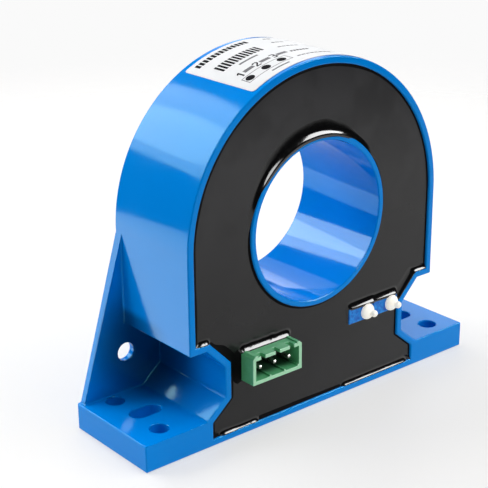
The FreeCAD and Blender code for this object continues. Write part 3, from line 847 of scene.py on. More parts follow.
FINISHES = (
    CoredMouldingWithPaintedShade(
        "housing_blue", linear(0, 128, 218), linear(0, 131, 222),
        roughness=0.1, scatter=0.03, patch=30.0, grain=1400.0, relief=0.0015, strength=0.5,
        ior=1.25, tint=(0.27, 1.0, 1.0)),
    Resin(
        "resin_black", linear(17, 17, 18), linear(25, 25, 26),
        roughness=0.22, scatter=0.05, patch=38.0, grain=700.0, relief=0.004, strength=0.5, ior=1.33),
    # Painted dark reflection: a dull, nearly black resin for the thin strips that stand in for the black
    # reflection bands along the walls and round the parts.
    Resin(
        "resin_painted_dark_band", linear(2, 2, 3), linear(5, 5, 6),
        roughness=0.5, scatter=0.1, patch=300.0, grain=500.0, relief=0.006, strength=0.5,
        ior=1.12, painted_reflection=linear(4, 4, 5)),
    Resin(
        "resin_wet", linear(7, 7, 8), linear(10, 10, 11),
        roughness=0.11, scatter=0.03, patch=300.0, grain=500.0, relief=0.006, strength=0.5,
        ior=1.46, painted_reflection=linear(8, 8, 9)),
    Socket(
        "header_green", linear(94, 182, 126), linear(84, 170, 116),
        roughness=0.38, scatter=0.05, patch=300.0, grain=2500.0, relief=0.004, strength=0.5),
    Moulding(
        "trimmer_blue", linear(0, 88, 190), linear(14, 142, 228),
        roughness=0.35, scatter=0.1, patch=700.0, grain=2400.0, relief=0.01, strength=0.6, ior=1.3),
    # The sealing lacquer has a painted glow.
    Finish(
        "seal_white", linear(246, 244, 236), linear(238, 230, 214),
        roughness=0.35, scatter=0.08, patch=500.0, grain=1800.0, relief=0.02, painted_glow=0.3),
    Finish(
        "label_white", linear(222, 223, 225), linear(217, 219, 221),
        roughness=0.6, scatter=0.05, patch=80.0, grain=1500.0, relief=0.003, ior=1.3),
    Finish(
        "print_ink", linear(14, 14, 17), linear(26, 26, 30),
        roughness=0.8, scatter=0.05, patch=900.0, grain=2500.0, relief=0.004, ior=1.15),
    Finish(
        "print_grey", linear(104, 104, 108), linear(124, 124, 128),
        roughness=0.8, scatter=0.05, patch=900.0, grain=2500.0, relief=0.004, ior=1.15),
    Finish(
        "core_steel", linear(120, 122, 124), linear(96, 98, 102),
        roughness=0.4, metallic=1.0, patch=200.0),
    Finish(
        "lead_tin", linear(200, 200, 196), linear(176, 176, 172),
        roughness=0.28, metallic=1.0, patch=600.0),
    Finish(
        "pin_tin", linear(176, 176, 170), linear(150, 150, 146),
        roughness=0.3, metallic=1.0, patch=900.0),
    Finish(
        "board_green", linear(24, 92, 52), linear(18, 78, 44),
        roughness=0.35, patch=250.0, coat=0.5),
    Finish(
        "screw_brass", linear(196, 160, 84), linear(170, 136, 66),
        roughness=0.3, metallic=1.0, patch=900.0),
    Finish(
        "can_aluminium", linear(196, 198, 200), linear(178, 180, 184),
        roughness=0.3, metallic=1.0, patch=500.0),
    Finish(
        "chip_black", linear(28, 28, 30), linear(38, 38, 40),
        roughness=0.5, patch=700.0, relief=0.03),
    Finish(
        "ceramic_tan", linear(186, 152, 112), linear(172, 138, 98),
        roughness=0.45, patch=900.0),
    Finish(
        "resistor_black", linear(34, 34, 36), linear(50, 48, 48),
        roughness=0.4, patch=900.0))

SLOTS = {
    **{name: name for name in (
        "housing_blue", "header_green", "trimmer_blue", "seal_white", "label_white", "pin_tin")},
    **dict.fromkeys(("resin_wet", "resin_painted_dark_band"), "resin_black")}


class Paint:
    """The materials by name, each made once."""

    def __init__(self, finishes: Iterable[Finish]) -> None:
        """Make every material.

        Args:
            finishes: The finishes.
        """
        self.by_name = {finish.name: finish.material() for finish in finishes}

    def dress(self, thing: bpy.types.Object, name: str) -> None:
        """Give an object a finish in all its slots.

        Args:
            thing: The object.
            name: Name of the finish.
        """
        if not thing.material_slots:
            thing.data.materials.append(self.by_name[name])
        for slot in thing.material_slots:
            slot.material = self.by_name[name]


@dataclass
class Assembly:
    """A group of pieces that belong together."""

    paint: Paint

    def add(self, thing: bpy.types.Object, finish: str, *replaced: str) -> None:
        """Paint a new piece and tie it to the frame.

        Args:
            thing: The piece.
            finish: Its finish.
            replaced: The CAD nodes that it stands for.
        """
        self.paint.dress(thing, finish)
        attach(thing, BODY)
        finish in SLOTS
        if replaced:
            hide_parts(*replaced)

    def build(self) -> None:
        """Build and paint the group."""
        raise NotImplementedError


@dataclass
class Housing(Assembly):
    """The moulded housing: shell, window tube, feet and rear plates."""

    half: float = 45.0
    wall: float = 2.0
    window: float = 22.5
    tube: float = 24.2
    window_height: float = 55.0
    front: float = -16.0
    back: float = 16.0
    floor: float = 14.0
    plate_front: float = 13.5
    foot_tip: float = 60.0
    foot_high: float = 7.7
    base_half: float = 39.8
    waist_half: float = 33.4
    waist_bottom: float = 13.1
    waist_top: float = 22.0
    shoulder_half: float = 39.4
    shoulder_height: float = 28.2
    plate_half: float = 59.0
    plate_top: float = 54.3
    rear_hole: float = 2.65
    rear_hole_at: Flat = (44.8, 19.4)
    foot_hole: float = 2.6
    foot_hole_half: float = 51.2
    foot_rows: Flat = (-9.9, 10.5)
    slot_half: float = 48.4
    slot_depth: float = 0.3
    slot_long: float = 9.3
    slot_wide: float = 5.2
    soft: float = 0.4
    arch_steps: int = 120
    hole_steps: int = 32
    fold_limit: float = 9.0
    tries: int = 24

    def side(self) -> list[Flat]:
        """Give the right side of the body from the foot's level up to the arch.

        Returns:
            The points.
        """
        return [
            (self.base_half, self.foot_high),
            (self.waist_half, self.waist_bottom),
            (self.waist_half, self.waist_top),
            (self.shoulder_half, self.shoulder_height),
            (self.half, self.shoulder_height),
            (self.half, self.plate_top),
        ]

    def closed(self, right: Sequence[Flat]) -> list[Flat]:
        """Carry an outline over the arch and down the left side.

        Args:
            right: The points of the right side, upward.

        Returns:
            The points, anticlockwise.
        """
        arch = arc(self.half, (0, self.window_height), 0, 180, self.arch_steps)
        return [*right, *arch, *((-across, up) for across, up in reversed(right))]

    def inner(self) -> list[Flat]:
        """Give the outline of the cavity.

        Returns:
            The points, anticlockwise.
        """
        return offset(self.closed([(self.base_half, 0.0), *self.side()]), self.wall)

    def slot_outline(self, across: float) -> list[Flat]:
        """Give the outline of a foot slot.

        Args:
            across: X of its centre.

        Returns:
            The points.
        """
        radius = self.slot_wide / 2
        straight = self.slot_long / 2 - radius
        steps = self.hole_steps // 2
        right = arc(radius, (across + straight, self.slot_depth), -90, 90, steps)
        left = arc(radius, (across - straight, self.slot_depth), 90, 270, steps)
        return [*right, *left]

    def foot_holes(self) -> list[list[Flat]]:
        """Give the outlines of all holes through the feet.

        Returns:
            The outlines.
        """
        holes = []
        for side in SIDES:
            for row in self.foot_rows:
                holes.append(circle(self.foot_hole, (side * self.foot_hole_half, row), self.hole_steps))
            holes.append(self.slot_outline(side * self.slot_half))
        return holes

    def in_foot_hole(self, spot: Vector) -> bool:
        """Tell whether a point lies inside a hole or a slot of a foot.

        Args:
            spot: A point in millimetres.

        Returns:
            True when it does.
        """
        across = abs(spot.x)
        in_hole = any(
            math.hypot(across - self.foot_hole_half, spot.y - row) < self.foot_hole for row in self.foot_rows)
        straight = (self.slot_long - self.slot_wide) / 2
        beyond = max(abs(across - self.slot_half) - straight, 0.0)
        return in_hole or math.hypot(beyond, spot.y - self.slot_depth) < self.slot_wide / 2

    def from_window(self, spot: Vector) -> float:
        """Give the distance from the axis of the window.

        Args:
            spot: A point in millimetres.

        Returns:
            The distance.
        """
        return math.hypot(spot.x, spot.z - self.window_height)

    def walls(self, form: Form) -> None:
        """Raise every wall of the housing from its outline.

        Args:
            form: The form that they are added to.
        """
        plate = (0, self.back - self.plate_front, 0)
        pocket = (0, self.floor - self.front, 0)
        foot = [(self.foot_tip, 0.0), (self.foot_tip, self.foot_high), (self.plate_half, self.foot_high)]
        with_feet = self.closed([*foot, *self.side()])
        with_plates = self.closed([*foot, (self.half, self.plate_top)])
        form.tube(Plane.FRONT.lift(with_feet, self.front), (0, self.plate_front - self.front, 0))
        form.tube(Plane.FRONT.lift(with_plates, self.plate_front), plate)
        form.delete_faces(lambda spot: near(spot.z, self.foot_high) and spot.y < self.plate_front)
        form.delete_faces(lambda spot: near(spot.z, 0) and spot.y < self.plate_front)
        for hole in self.foot_holes():
            form.tube(Plane.LEVEL.lift(hole, self.foot_high), (0, 0, -self.foot_high))
        across, up = self.rear_hole_at
        for side in SIDES:
            hole = circle(self.rear_hole, (side * across, up), self.hole_steps)
            form.tube(Plane.FRONT.lift(hole, self.plate_front), plate)
        axis = (0.0, self.window_height)
        bore = circle(self.window, axis, 2 * self.arch_steps)
        collar = circle(self.tube, axis, 2 * self.arch_steps)
        form.tube(Plane.FRONT.lift(bore, self.front), (0, self.back - self.front, 0))
        form.tube(Plane.FRONT.lift(collar, self.front), pocket)
        form.tube(Plane.FRONT.lift(self.inner(), self.front), pocket)
        form.merge()

    def faces(self, form: Form) -> None:
        """Fill the flat faces between the walls.

        Args:
            form: The form that holds the walls.
        """
        form.fill(lambda spot: near(spot.z, self.foot_high) and spot.y < self.plate_front + TOUCH
                  and abs(spot.x) > self.base_half - TOUCH)
        form.delete_faces(lambda spot: near(spot.z, self.foot_high) and self.in_foot_hole(spot))
        for side in SIDES:
            form.fill(lambda spot: near(spot.y, self.plate_front) and spot.x * side > 0
                      and self.foot_high - TOUCH < spot.z < self.plate_top + TOUCH)
        form.fill(lambda spot: near(spot.z, 0) and spot.y < self.plate_front + TOUCH)
        form.fill(lambda spot: near(spot.y, self.back))
        form.fill(lambda spot: near(spot.y, self.floor))
        form.fill(lambda spot: near(spot.y, self.front) and self.from_window(spot) < self.tube + TOUCH)
        form.fill(lambda spot: near(spot.y, self.front) and self.from_window(spot) > self.tube + TOUCH)

    def shell(self) -> bpy.types.Object:
        """Model the housing as one closed shell.

        Returns:
            The object.
        """
        form = Form("housing_shell")
        self.walls(form)
        self.faces(form)
        form.settle()
        return form.finish(self.soft)

    def build(self) -> None:
        """Model the housing, anew where a face folded over, and paint it."""
        thing = self.shell()
        for attempt in range(self.tries):
            if folded(thing) < self.fold_limit:
                break
            LOG.info("housing modelled anew, attempt %d", attempt + 1)
            bpy.data.meshes.remove(thing.data)
            thing = self.shell()
        self.add(thing, "housing_blue", "housing")
def folded(thing: bpy.types.Object) -> float:
    """Measure how much the triangles of the worst face cover beyond that face.

    Blender joins flat faces in another order in each run, and now and then the triangles of such a
    joined face come out wrong and close a hole.

    Args:
        thing: The object.

    Returns:
        The area in square millimetres.
    """
    mesh = thing.data
    mesh.calc_loop_triangles()
    covered = [0.0] * len(mesh.polygons)
    for triangle in mesh.loop_triangles:
        covered[triangle.polygon_index] += triangle.area
    return max(area - face.area for area, face in zip(covered, mesh.polygons)) / MM ** 2


@dataclass(frozen=True)
class Creep:
    """How the resin creeps up a wall at one place: a wide slope with a steeper one at the wall."""

    high: float
    reach: float
    steep: float = 0.0
    narrow: float = 1.6
    dip: float = 0.004

    def lift(self, share: float) -> float:
        """Give the height of the resin.

        Args:
            share: Share of the reach from the wall outward.

        Returns:
            The height in millimetres.
        """
        near_wall = max(1 - share * self.reach / self.narrow, 0.0)
        return self.high * (1 - share) ** 2 + self.steep * near_wall ** 2 - self.dip * share


def wander(spot: Vector, waves: float, seed: float) -> float:
    """Give a smooth number that changes along a wall.

    Args:
        spot: A point of the wall.
        waves: How many waves fit in a millimetre.
        seed: Picks one of many patterns.

    Returns:
        The number, from about -1 to about 1.
    """
    return noise.noise(Vector((spot.x * waves, spot.y * waves, seed)))


@dataclass
class Potting(Assembly):
    """The menisci where the potting resin creeps up everything that stands in it."""

    housing: Housing = field(kw_only=True)
    level: float = -15.2
    sunk: float = 0.06
    steps: int = 14
    header: tuple[float, float, float, float] = (-27.72, 16.25, -10.48, 24.4)
    trimmers: tuple[float, float, float, float] = (11.95, 20.8, 31.15, 25.6)
    highest: float = 0.7
    lit_bottom: tuple[Flat, ...] = ((-36.0, -21.0), (9.0, 37.0))
    tube_reach: tuple[Flat, ...] = (
        (0, 0.7), (33, 0.8), (51, 1.7), (72, 3.3), (87, 4.5), (106, 4.3), (129, 3.9), (154, 2.0), (175, 0.7),
        (200, 0.7), (360, 0.7))

    def strip(self, name: str, foot: Sequence[Flat], out: Sequence[Flat],
              creep: Callable[[Vector, Vector], Creep], finish: str = "resin_wet") -> None:
        """Sweep a meniscus along a wall.

        Args:
            name: Name of the piece.
            foot: The loop along the wall.
            out: The same loop, a millimetre away from the wall.
            creep: Gives the size at a point of the wall and the way out from it.
            finish: Its finish.
        """
        ways = [Vector(away) - Vector(here) for here, away in zip(foot, out)]
        for _ in range(4):
            after = ways[1:] + ways[:1]
            before = ways[-1:] + ways[:-1]
            ways = [(one + two * 2 + three) / 4 for one, two, three in zip(before, ways, after)]
        sizes = [creep(Vector(here), way.normalized()) for here, way in zip(foot, ways)]

        def ring(share: float, raised: float) -> list[Spot]:
            spots = []
            for here, way, size in zip(foot, ways, sizes):
                flat = Vector(here) + way * (size.reach * share)
                lift = raised * (size.lift(max(share, 0.0)) + self.sunk)
                spots.append((flat.x, self.level + self.sunk - lift, flat.y))
            return spots

        rings = [ring(-0.2, 0.0), ring(-0.2, 1.0)]
        rings += [ring(step / self.steps, 1.0) for step in range(self.steps + 1)]
        rings.append(ring(1.04, 0.0))
        form = Form(name)
        form.sweep(rings)
        form.settle(False)
        self.add(form.finish(), finish)

    def wall_creep(self, spot: Vector, way: Vector) -> Creep:
        """Give the size of the meniscus along the housing's wall.

        Args:
            spot: A point of the wall.
            way: The way out of the wall.

        Returns:
            The size there.
        """
        slow = 0.5 + 0.5 * wander(spot, 0.16, 3.0)
        ripple = wander(spot, 0.7, 5.0)
        upward, slanting = self.facing(spot, way)
        reach = 0.8 + 0.3 * slow + (0.4 + 0.7 * slow) * upward + 2.2 * slanting
        steep = 0.02 + 0.42 * upward * (0.8 + 0.4 * slow + 0.35 * ripple) + 0.2 * slanting
        return Creep(min(steep * reach, self.highest), reach)

    def facing(self, spot: Vector, way: Vector) -> Flat:
        """Tell how far the wall at a point faces up, where the resin shines, or slants.

        Args:
            spot: A point of the wall.
            way: The way out of the wall.

        Returns:
            The share that faces up and the share that slants.
        """
        low_down = ease(self.housing.window_height - spot.y, 10.0, 15.0)
        level = ease(way.y, 0.8, 0.97)
        upward = level * low_down
        slanting = ease(way.y, 0.2, 0.5) * (1 - level) * low_down * ease(-way.x, 0.0, 0.3)
        if spot.y < self.housing.foot_high:
            upward *= max(
                ease(spot.x, low, low + 1.5) * ease(-spot.x, -high, 1.5 - high)
                for low, high in self.lit_bottom)
        return upward, slanting

    def wall_painted_dark_band(self, spot: Vector, way: Vector) -> Creep:
        """Give the size of the painted dark band along the housing's wall: a dull black strip standing in for
        the dark reflection there.

        Args:
            spot: A point of the wall.
            way: The way out of the wall.

        Returns:
            The size there.
        """
        slow = 0.5 + 0.5 * wander(spot, 0.09, 6.0)
        share = max(1 - sum(self.facing(spot, way)), 0.0)
        share *= 0.35 + 0.65 * ease(-spot.x, -30.0, 10.0)
        pool = ease(way.x, 0.3, 0.7) * ease(way.y, 0.2, 0.5) * ease(-spot.y, -29.0, -26.0)
        return Creep(0.02 + 0.3 * share + 0.25 * pool, 0.35 + (0.5 + 0.7 * slow) * share + 1.6 * pool)

    def tube_painted_dark_band(self, spot: Vector, way: Vector) -> Creep:
        """Give the size of the painted dark band round the window tube.

        Args:
            spot: A point of the wall; not used here.
            way: The way out of the wall.

        Returns:
            The size there.
        """
        angle = math.degrees(math.atan2(way.y, way.x)) % 360
        share = max(1 - ease(angle, 25.0, 50.0), ease(angle, 165.0, 190.0))
        return Creep(0.02 + 0.24 * share, 0.4 + 0.4 * share)

    def tube_creep(self, spot: Vector, way: Vector) -> Creep:
        """Give the size of the meniscus round the window tube.

        Args:
            spot: A point of the wall; not used here.
            way: The way out of the wall.

        Returns:
            The size there.
        """
        angle = math.degrees(math.atan2(way.y, way.x)) % 360
        reach = 0.7
        for (low, first), (high, second) in zip(self.tube_reach, self.tube_reach[1:]):
            if low <= angle <= high:
                reach = first + (second - first) * ease(angle, low, high)
        wide = max(reach - 0.7, 0.0)
        return Creep(0.04 + 0.1 * wide, reach, 0.55 * min(wide / 2.0, 1.0), 1.7)

    def header_creep(self, spot: Vector, way: Vector) -> Creep:
        """Give the size of the meniscus round the terminal header.

        Args:
            spot: A point of the wall.
            way: The way out of the wall.

        Returns:
            The size there.
        """
        top = max(way.y, 0.0) ** 2
        slow = wander(spot, 0.45, 8.0)
        return Creep(0.05 + 0.95 * top * (1 + 0.08 * slow), 0.6 + 1.8 * top * (1 + 0.2 * slow))

    def header_painted_dark_band(self, spot: Vector, way: Vector) -> Creep:
        """Give the size of the painted dark band round the terminal header.

        Args:
            spot: A point of the wall; not used here.
            way: The way out of the wall.

        Returns:
            The size there.
        """
        left, top = max(-way.x, 0.0) ** 2, max(way.y, 0.0) ** 2
        return Creep(0.2 - 0.18 * top + 0.25 * left, 0.5 + 2.4 * left)

    def trimmer_creep(self, spot: Vector, way: Vector) -> Creep:
        """Give the size of the meniscus round the two trimmers.

        Args:
            spot: A point of the wall.
            way: The way out of the wall.

        Returns:
            The size there.
        """
        top = max(way.y, 0.0) ** 2
        left, _, right, _ = self.trimmers
        rise = ((spot.x - left) / (right - left) * 2) % 1.0
        reach = 0.5 + 1.9 * top
        return Creep(0.16 + 0.74 * top * (0.72 + 0.4 * rise), reach)

    def build(self) -> None:
        """Sweep the menisci along the walls and round the parts."""
        axis = (0.0, self.housing.window_height)
        steps = 2 * self.housing.arch_steps
        wall = divided(self.housing.inner(), 0.7)
        inward = divided(self.housing.inner(), 0.7, 1.0)
        self.strip("wall_meniscus", wall, inward, self.wall_creep)
        self.strip("wall_painted_dark_band", wall, inward, self.wall_painted_dark_band, "resin_painted_dark_band")
        tube = self.housing.tube
        ring, wider = circle(tube, axis, steps), circle(tube + 1, axis, steps)
        self.strip("tube_meniscus", ring, wider, self.tube_creep)
        self.strip("tube_painted_dark_band", ring, wider, self.tube_painted_dark_band, "resin_painted_dark_band")
        for name, box, creep, finish in (
                ("header_meniscus", self.header, self.header_creep, "resin_wet"),
                ("header_painted_dark_band", self.header, self.header_painted_dark_band, "resin_painted_dark_band"),
                ("trimmer_meniscus", self.trimmers, self.trimmer_creep, "resin_wet")):
            left, low, right, high = box
            corners = [(left, low), (right, low), (right, high), (left, high)]
            self.strip(name, divided(corners, 0.4), divided(corners, 0.4, -1.0), creep, finish)


def divided(outline: Sequence[Flat], step: float, inward: float = 0.0) -> list[Flat]:
    """Divide the long sides of an outline and move it inward.

    Args:
        outline: The corners of the outline, anticlockwise.
        step: Longest side that stays whole.
        inward: How far the outline is moved inward after it was divided.

    Returns:
        The points, as many for any distance inward.
    """
    points: list[Flat] = []
    for index, here in enumerate(outline):
        ahead = outline[(index + 1) % len(outline)]
        count = max(round(math.dist(here, ahead) / step), 1)
        for part in range(count):
            share = part / count
            points.append((here[0] + (ahead[0] - here[0]) * share, here[1] + (ahead[1] - here[1]) * share))
    return offset(points, inward) if inward else points


DIGITS: tuple[tuple[Flat, ...], ...] = (
    ((0.4, 0.0), (0.7, 0.0), (0.7, 1.0), (0.45, 1.0), (0.1, 0.8), (0.1, 0.62), (0.4, 0.75)),
    ((0.0, 0.0), (1.0, 0.0), (1.0, 0.16), (0.3, 0.16), (1.0, 0.6), (1.0, 0.88), (0.8, 1.0), (0.2, 1.0),
     (0.0, 0.86), (0.0, 0.74), (0.25, 0.74), (0.35, 0.84), (0.65, 0.84), (0.72, 0.66), (0.0, 0.18)),
    ((0.15, 0.0), (0.85, 0.0), (1.0, 0.14), (1.0, 0.4), (0.85, 0.52), (1.0, 0.64), (1.0, 0.86), (0.85, 1.0),
     (0.15, 1.0), (0.0, 0.86), (0.7, 0.84), (0.7, 0.6), (0.3, 0.6), (0.3, 0.44), (0.7, 0.44), (0.7, 0.16),
     (0.0, 0.14)))


@dataclass
class Label(Assembly):
    """The printed label on the round top."""

    radius: float = 45.12
    thick: float = 0.12
    half_angle: float = 29.2
    front: float = -14.5
    back: float = 14.0
    window_height: float = 55.0
    corner: float = 1.0
    ink: float = 0.012
    digit_wide: float = 0.6
    cuts: int = 60

    def along(self, angle: float) -> float:
        """Turn an angle from the top into a length along the arch.

        Args:
            angle: The angle in degrees, positive to the right.

        Returns:
            The length.
        """
        return math.radians(angle) * self.radius

    def wrap(self, flat: Flat, lift: float = 0.0) -> Spot:
        """Lay a flat point on the round top.

        Args:
            flat: Distance along the arch from its top, and Y.
            lift: Height above the label's face.

        Returns:
            The point in space.
        """
        turn = flat[0] / self.radius
        reach = self.radius + lift
        return reach * math.sin(turn), flat[1], self.window_height + reach * math.cos(turn)

    def sheet(self, name: str, outlines: Sequence[Sequence[Flat]], top: float, bottom: float, finish: str,
              *replaced: str) -> None:
        """Cut flat shapes and lay them on the round top.

        Args:
            name: Name of the piece.
            outlines: The outlines of the shapes.
            top: Height of the upper face above the label's face.
            bottom: Height of the lower face.
            finish: Its finish.
            replaced: The CAD nodes that it stands for.
        """
        form = Form(name)
        for outline in outlines:
            form.loop(Plane.LEVEL.lift(outline, 0.0))
            bpy.ops.mesh.edge_face_add()
        width = self.along(self.half_angle) * 2
        for step in range(1, self.cuts):
            form.cut(((step / self.cuts - 0.5) * width, 0, 0), (1, 0, 0))
        bpy.ops.mesh.select_all(action="SELECT")
        form.extrude((0, 0, 1.0))
        thing = form.close()
        for vertex in thing.data.vertices:
            flat = vertex.co / MM
            lift = top if flat.z > 0.5 else bottom
            vertex.co = Vector(self.wrap((flat.x, flat.y), lift)) * MM
        form.open()
        form.settle(False)
        self.add(form.finish(), finish, *replaced)

    def bar(self, angle: float, wide: float, low: float, high: float) -> list[Flat]:
        """Give the outline of a printed bar.

        Args:
            angle: Angle of its left edge.
            wide: Its width along the arch.
            low: Y of its front edge.
            high: Y of its back edge.

        Returns:
            The corners.
        """
        left = self.along(angle)
        return [(left, low), (left + wide, low), (left + wide, high), (left, high)]

    def row(
        self, start: float, end: float, pitch: float, wide: float, low: float, high: float,
    ) -> list[list[Flat]]:
        """Give a row of equal bars.

        Args:
            start: Angle of the first bar.
            end: Angle that no bar passes.
            pitch: Length along the arch from bar to bar.
            wide: Width of a bar.
            low: Y of the front edges.
            high: Y of the back edges.

        Returns:
            The outlines.
        """
        count = int((self.along(end) - self.along(start) - wide) / pitch) + 1
        step = math.degrees(pitch / self.radius)
        return [self.bar(start + index * step, wide, low, high) for index in range(count)]

    def digit(self, points: Sequence[Flat], angle: float, low: float, high: float) -> list[Flat]:
        """Place the outline of a digit.

        Args:
            points: Its outline in a box one wide and one high.
            angle: Angle of its left edge.
            low: Y of its foot.
            high: Y of its head.

        Returns:
            The outline on the label.
        """
        size = high - low
        wide = size * self.digit_wide
        return [(self.along(angle) + across * wide, low + up * size) for across, up in points]

    def dark_print(self) -> list[list[Flat]]:
        """Give what is printed dark.

        Returns:
            The outlines.
        """
        shapes = self.row(-26.0, -2.5, 1.4, 1.0, 10.3, 12.5)
        shapes += self.row(-24.3, -5.3, 1.25, 0.8, 1.7, 5.9)
        for angle, digit in zip((-24.6, -17.4, -9.9), DIGITS):
            shapes.append(self.digit(digit, angle, -6.1, -3.3))
        shapes += [circle(1.3, (self.along(angle), -8.7), 24) for angle in (-23.7, -16.5, -9.7)]
        shapes += self.row(-1.7, 7.0, 1.1, 0.75, -5.6, -4.6)
        return shapes

    def grey_print(self) -> list[list[Flat]]:
        """Give what is printed grey.

        Returns:
            The outlines.
        """
        shapes = [self.bar(angle, 3.4, -5.4, -4.0) for angle in (-22.0, -14.8, -7.3)]
        shapes += [self.bar(-19.0, 6.5, -0.5, 0.3), self.bar(-17.5, 6.0, -12.3, -11.7)]
        for low, start, end in ((6.0, 2.5, 9.0), (0.5, -0.7, 10.0), (-10.4, -4.1, 11.5), (11.0, 4.0, 9.0)):
            shapes += self.row(start, end, 1.5, 1.2, low, low + 0.7)
        return shapes

    def frame_print(self) -> list[list[Flat]]:
        """Give the thin frame round the three dots.

        Returns:
            The outlines of its four sides.
        """
        left, right = -25.9, -6.7
        line = 0.22
        low, high = -10.5, -6.9
        return [
            self.bar(left, self.along(right - left), low, low + line),
            self.bar(left, self.along(right - left), high - line, high),
            self.bar(left, line, low + line, high - line),
            self.bar(right, line, low, high)]

    def build(self) -> None:
        """Cut the label and its print."""
        half = self.along(self.half_angle)
        card = [(-half, self.front), (half, self.front), (half, self.back), (-half, self.back)]
        self.sheet(
            "label_card", [rounded(card, self.corner)], -self.ink, -self.thick, "label_white", "rating_label")
        sunk = -self.thick / 2
        self.sheet("label_dark_print", self.dark_print(), 0.0, sunk, "print_ink")
        self.sheet("label_grey_print", self.grey_print(), 0.0, sunk, "print_grey")
        self.sheet("label_frame_print", self.frame_print(), 0.0, sunk, "print_grey")


@dataclass
class Fittings(Assembly):
    """The parts that stand out of the resin, with the soft edges that moulding leaves."""

    nodes: dict[str, bpy.types.Object] = field(kw_only=True)
    moulded: dict[str, tuple[str, float]] = field(default_factory=lambda: {
        "terminal_header": ("header_green", 0.08),
        **{f"{use}_trimmer_case": ("trimmer_blue", 0.18) for use in ("zero", "span")},
        **{f"terminal_pin_{pole}": ("pin_tin", 0.12) for pole in (1, 2, 3)}})
    seals: dict[str, float] = field(default_factory=lambda: {
        "zero_trimmer_seal": 18.9, "span_trimmer_seal": 28.6})
    seal_height: float = 23.2
    case_face: float = -15.8
    case_bottom: float = 20.8
    dome: float = 2.4
    dome_high: float = 1.8
    dome_power: float = 0.9
    bead: float = 1.05
    bead_high: float = 3.3
    bead_off: Flat = (0.7, -0.25)
    bead_sunk: float = 0.2
    neck_share: float = 0.82
    neck_below: float = 0.5
    voxel: float = 0.12

    def soften(self, name: str, finish: str, width: float) -> None:
        """Copy a CAD mesh and round its edges.

        Args:
            name: Name of the CAD node.
            finish: Its finish.
            width: Width of the rounding in millimetres.
        """
        form = Form(f"{name}_soft")
        thing = form.close()
        thing.data = self.nodes[name].data.copy()
        thing.data.materials.clear()
        form.open()
        form.settle()
        self.add(form.finish(width), finish, name)

    def seal(self, name: str, across: float) -> None:
        """Model a drop of sealing lacquer with the bead that was left on it.

        Args:
            name: Name of the CAD node that it stands for.
            across: X of its middle.
        """
        form = Form(f"{name}_drop")
        turns = [math.pi / 2 * step / 12 for step in range(13)]
        dome = [
            (self.dome * math.cos(turn), self.dome_high * math.sin(turn) ** self.dome_power)
            for turn in turns[:-1]]
        form.spin(
            [(0.0, 0.0), *dome, (0.0, self.dome_high)], (across, self.case_face, self.seal_height))
        neck = self.bead * self.neck_share
        ball = self.bead_high - self.bead
        bead = [(0.0, self.bead_sunk), (neck, self.bead_sunk), (neck, ball - self.neck_below)]
        bead += [(self.bead * math.cos(turn), ball + self.bead * math.sin(turn)) for turn in turns[:-1]]
        right, up = self.bead_off
        form.spin(
            [*bead, (0.0, self.bead_high)], (across + right, self.case_face, self.seal_height + up))
        form.settle(False)
        form.close()
        form.modify("REMESH", mode="VOXEL", voxel_size=self.voxel * MM)
        form.modify("SMOOTH", factor=0.5, iterations=8)
        form.open()
        form.cut((0, 0, self.case_bottom + 0.15), (0, 0, 1), clear_inner=True, use_fill=True)
        form.cut((0, self.case_face, 0), (0, 1, 0), clear_outer=True, use_fill=True)
        form.settle(False)
        self.add(form.finish(), "seal_white", name)

    def build(self) -> None:
        """Soften the copies and model the seals."""
        for name, (finish, width) in self.moulded.items():
            self.soften(name, finish, width)
        for name, across in self.seals.items():
            self.seal(name, across)


class SeenBy(Enum):
    """What a light falls on."""

    ALL = "all"
    MIRRORS = "mirrors"
    SURFACES = "surfaces"


def area_light(name: str, size: Flat, radiance: float) -> bpy.types.Object:
    """Add a rectangular light that the camera can't see.

    Args:
        name: Name of the light.
        size: Its width and height in metres.
        radiance: How bright its face is.

    Returns:
        The light, still at the origin.
    """
    wide, high = size
    lamp = bpy.data.lights.new(name, "AREA")
    lamp.shape = "RECTANGLE"
    lamp.size = wide
    lamp.size_y = high
    lamp.energy = radiance * math.pi * wide * high
    thing = bpy.data.objects.new(name, lamp)
    bpy.context.scene.collection.objects.link(thing)
    thing.visible_camera = False
    return thing


@dataclass(frozen=True)
class Softbox:
    """A rectangular light that looks at the part."""

    name: str
    azimuth: float
    elevation: float
    distance: float
    wide: float
    high: float
    radiance: float
    seen_by: SeenBy = SeenBy.ALL

    def towards(self) -> Vector:
        """Give the direction from the part to the light.

        Returns:
            The direction, turned by azimuth from the back to the right.
        """
        turn = math.radians(self.azimuth)
        rise = math.radians(self.elevation)
        return Vector((math.sin(turn) * math.cos(rise), math.cos(turn) * math.cos(rise), math.sin(rise)))

    def build(self, target: Vector) -> None:
        """Hang the light.

        Args:
            target: What it looks at, in metres.
        """
        thing = area_light(self.name, (self.wide, self.high), self.radiance)
        away = self.towards()
        thing.location = target + away * self.distance
        thing.rotation_euler = away.to_track_quat("Z", "Y").to_euler()
        thing.visible_diffuse = self.seen_by is not SeenBy.MIRRORS
        thing.visible_glossy = self.seen_by is not SeenBy.SURFACES


@dataclass(frozen=True)
class Glow:
    """A lit patch of the table that only mirrors show."""

    name: str
    middle: Flat
    turn: float
    wide: float
    deep: float
    radiance: float
    height: float = 0.0005

    def build(self) -> None:
        """Lay the patch on the floor."""
        thing = area_light(self.name, (self.wide, self.deep), self.radiance)
        thing.location = (self.middle[0], self.middle[1], self.height)
        thing.rotation_euler = (math.pi, 0.0, math.radians(self.turn))
        thing.visible_diffuse = False


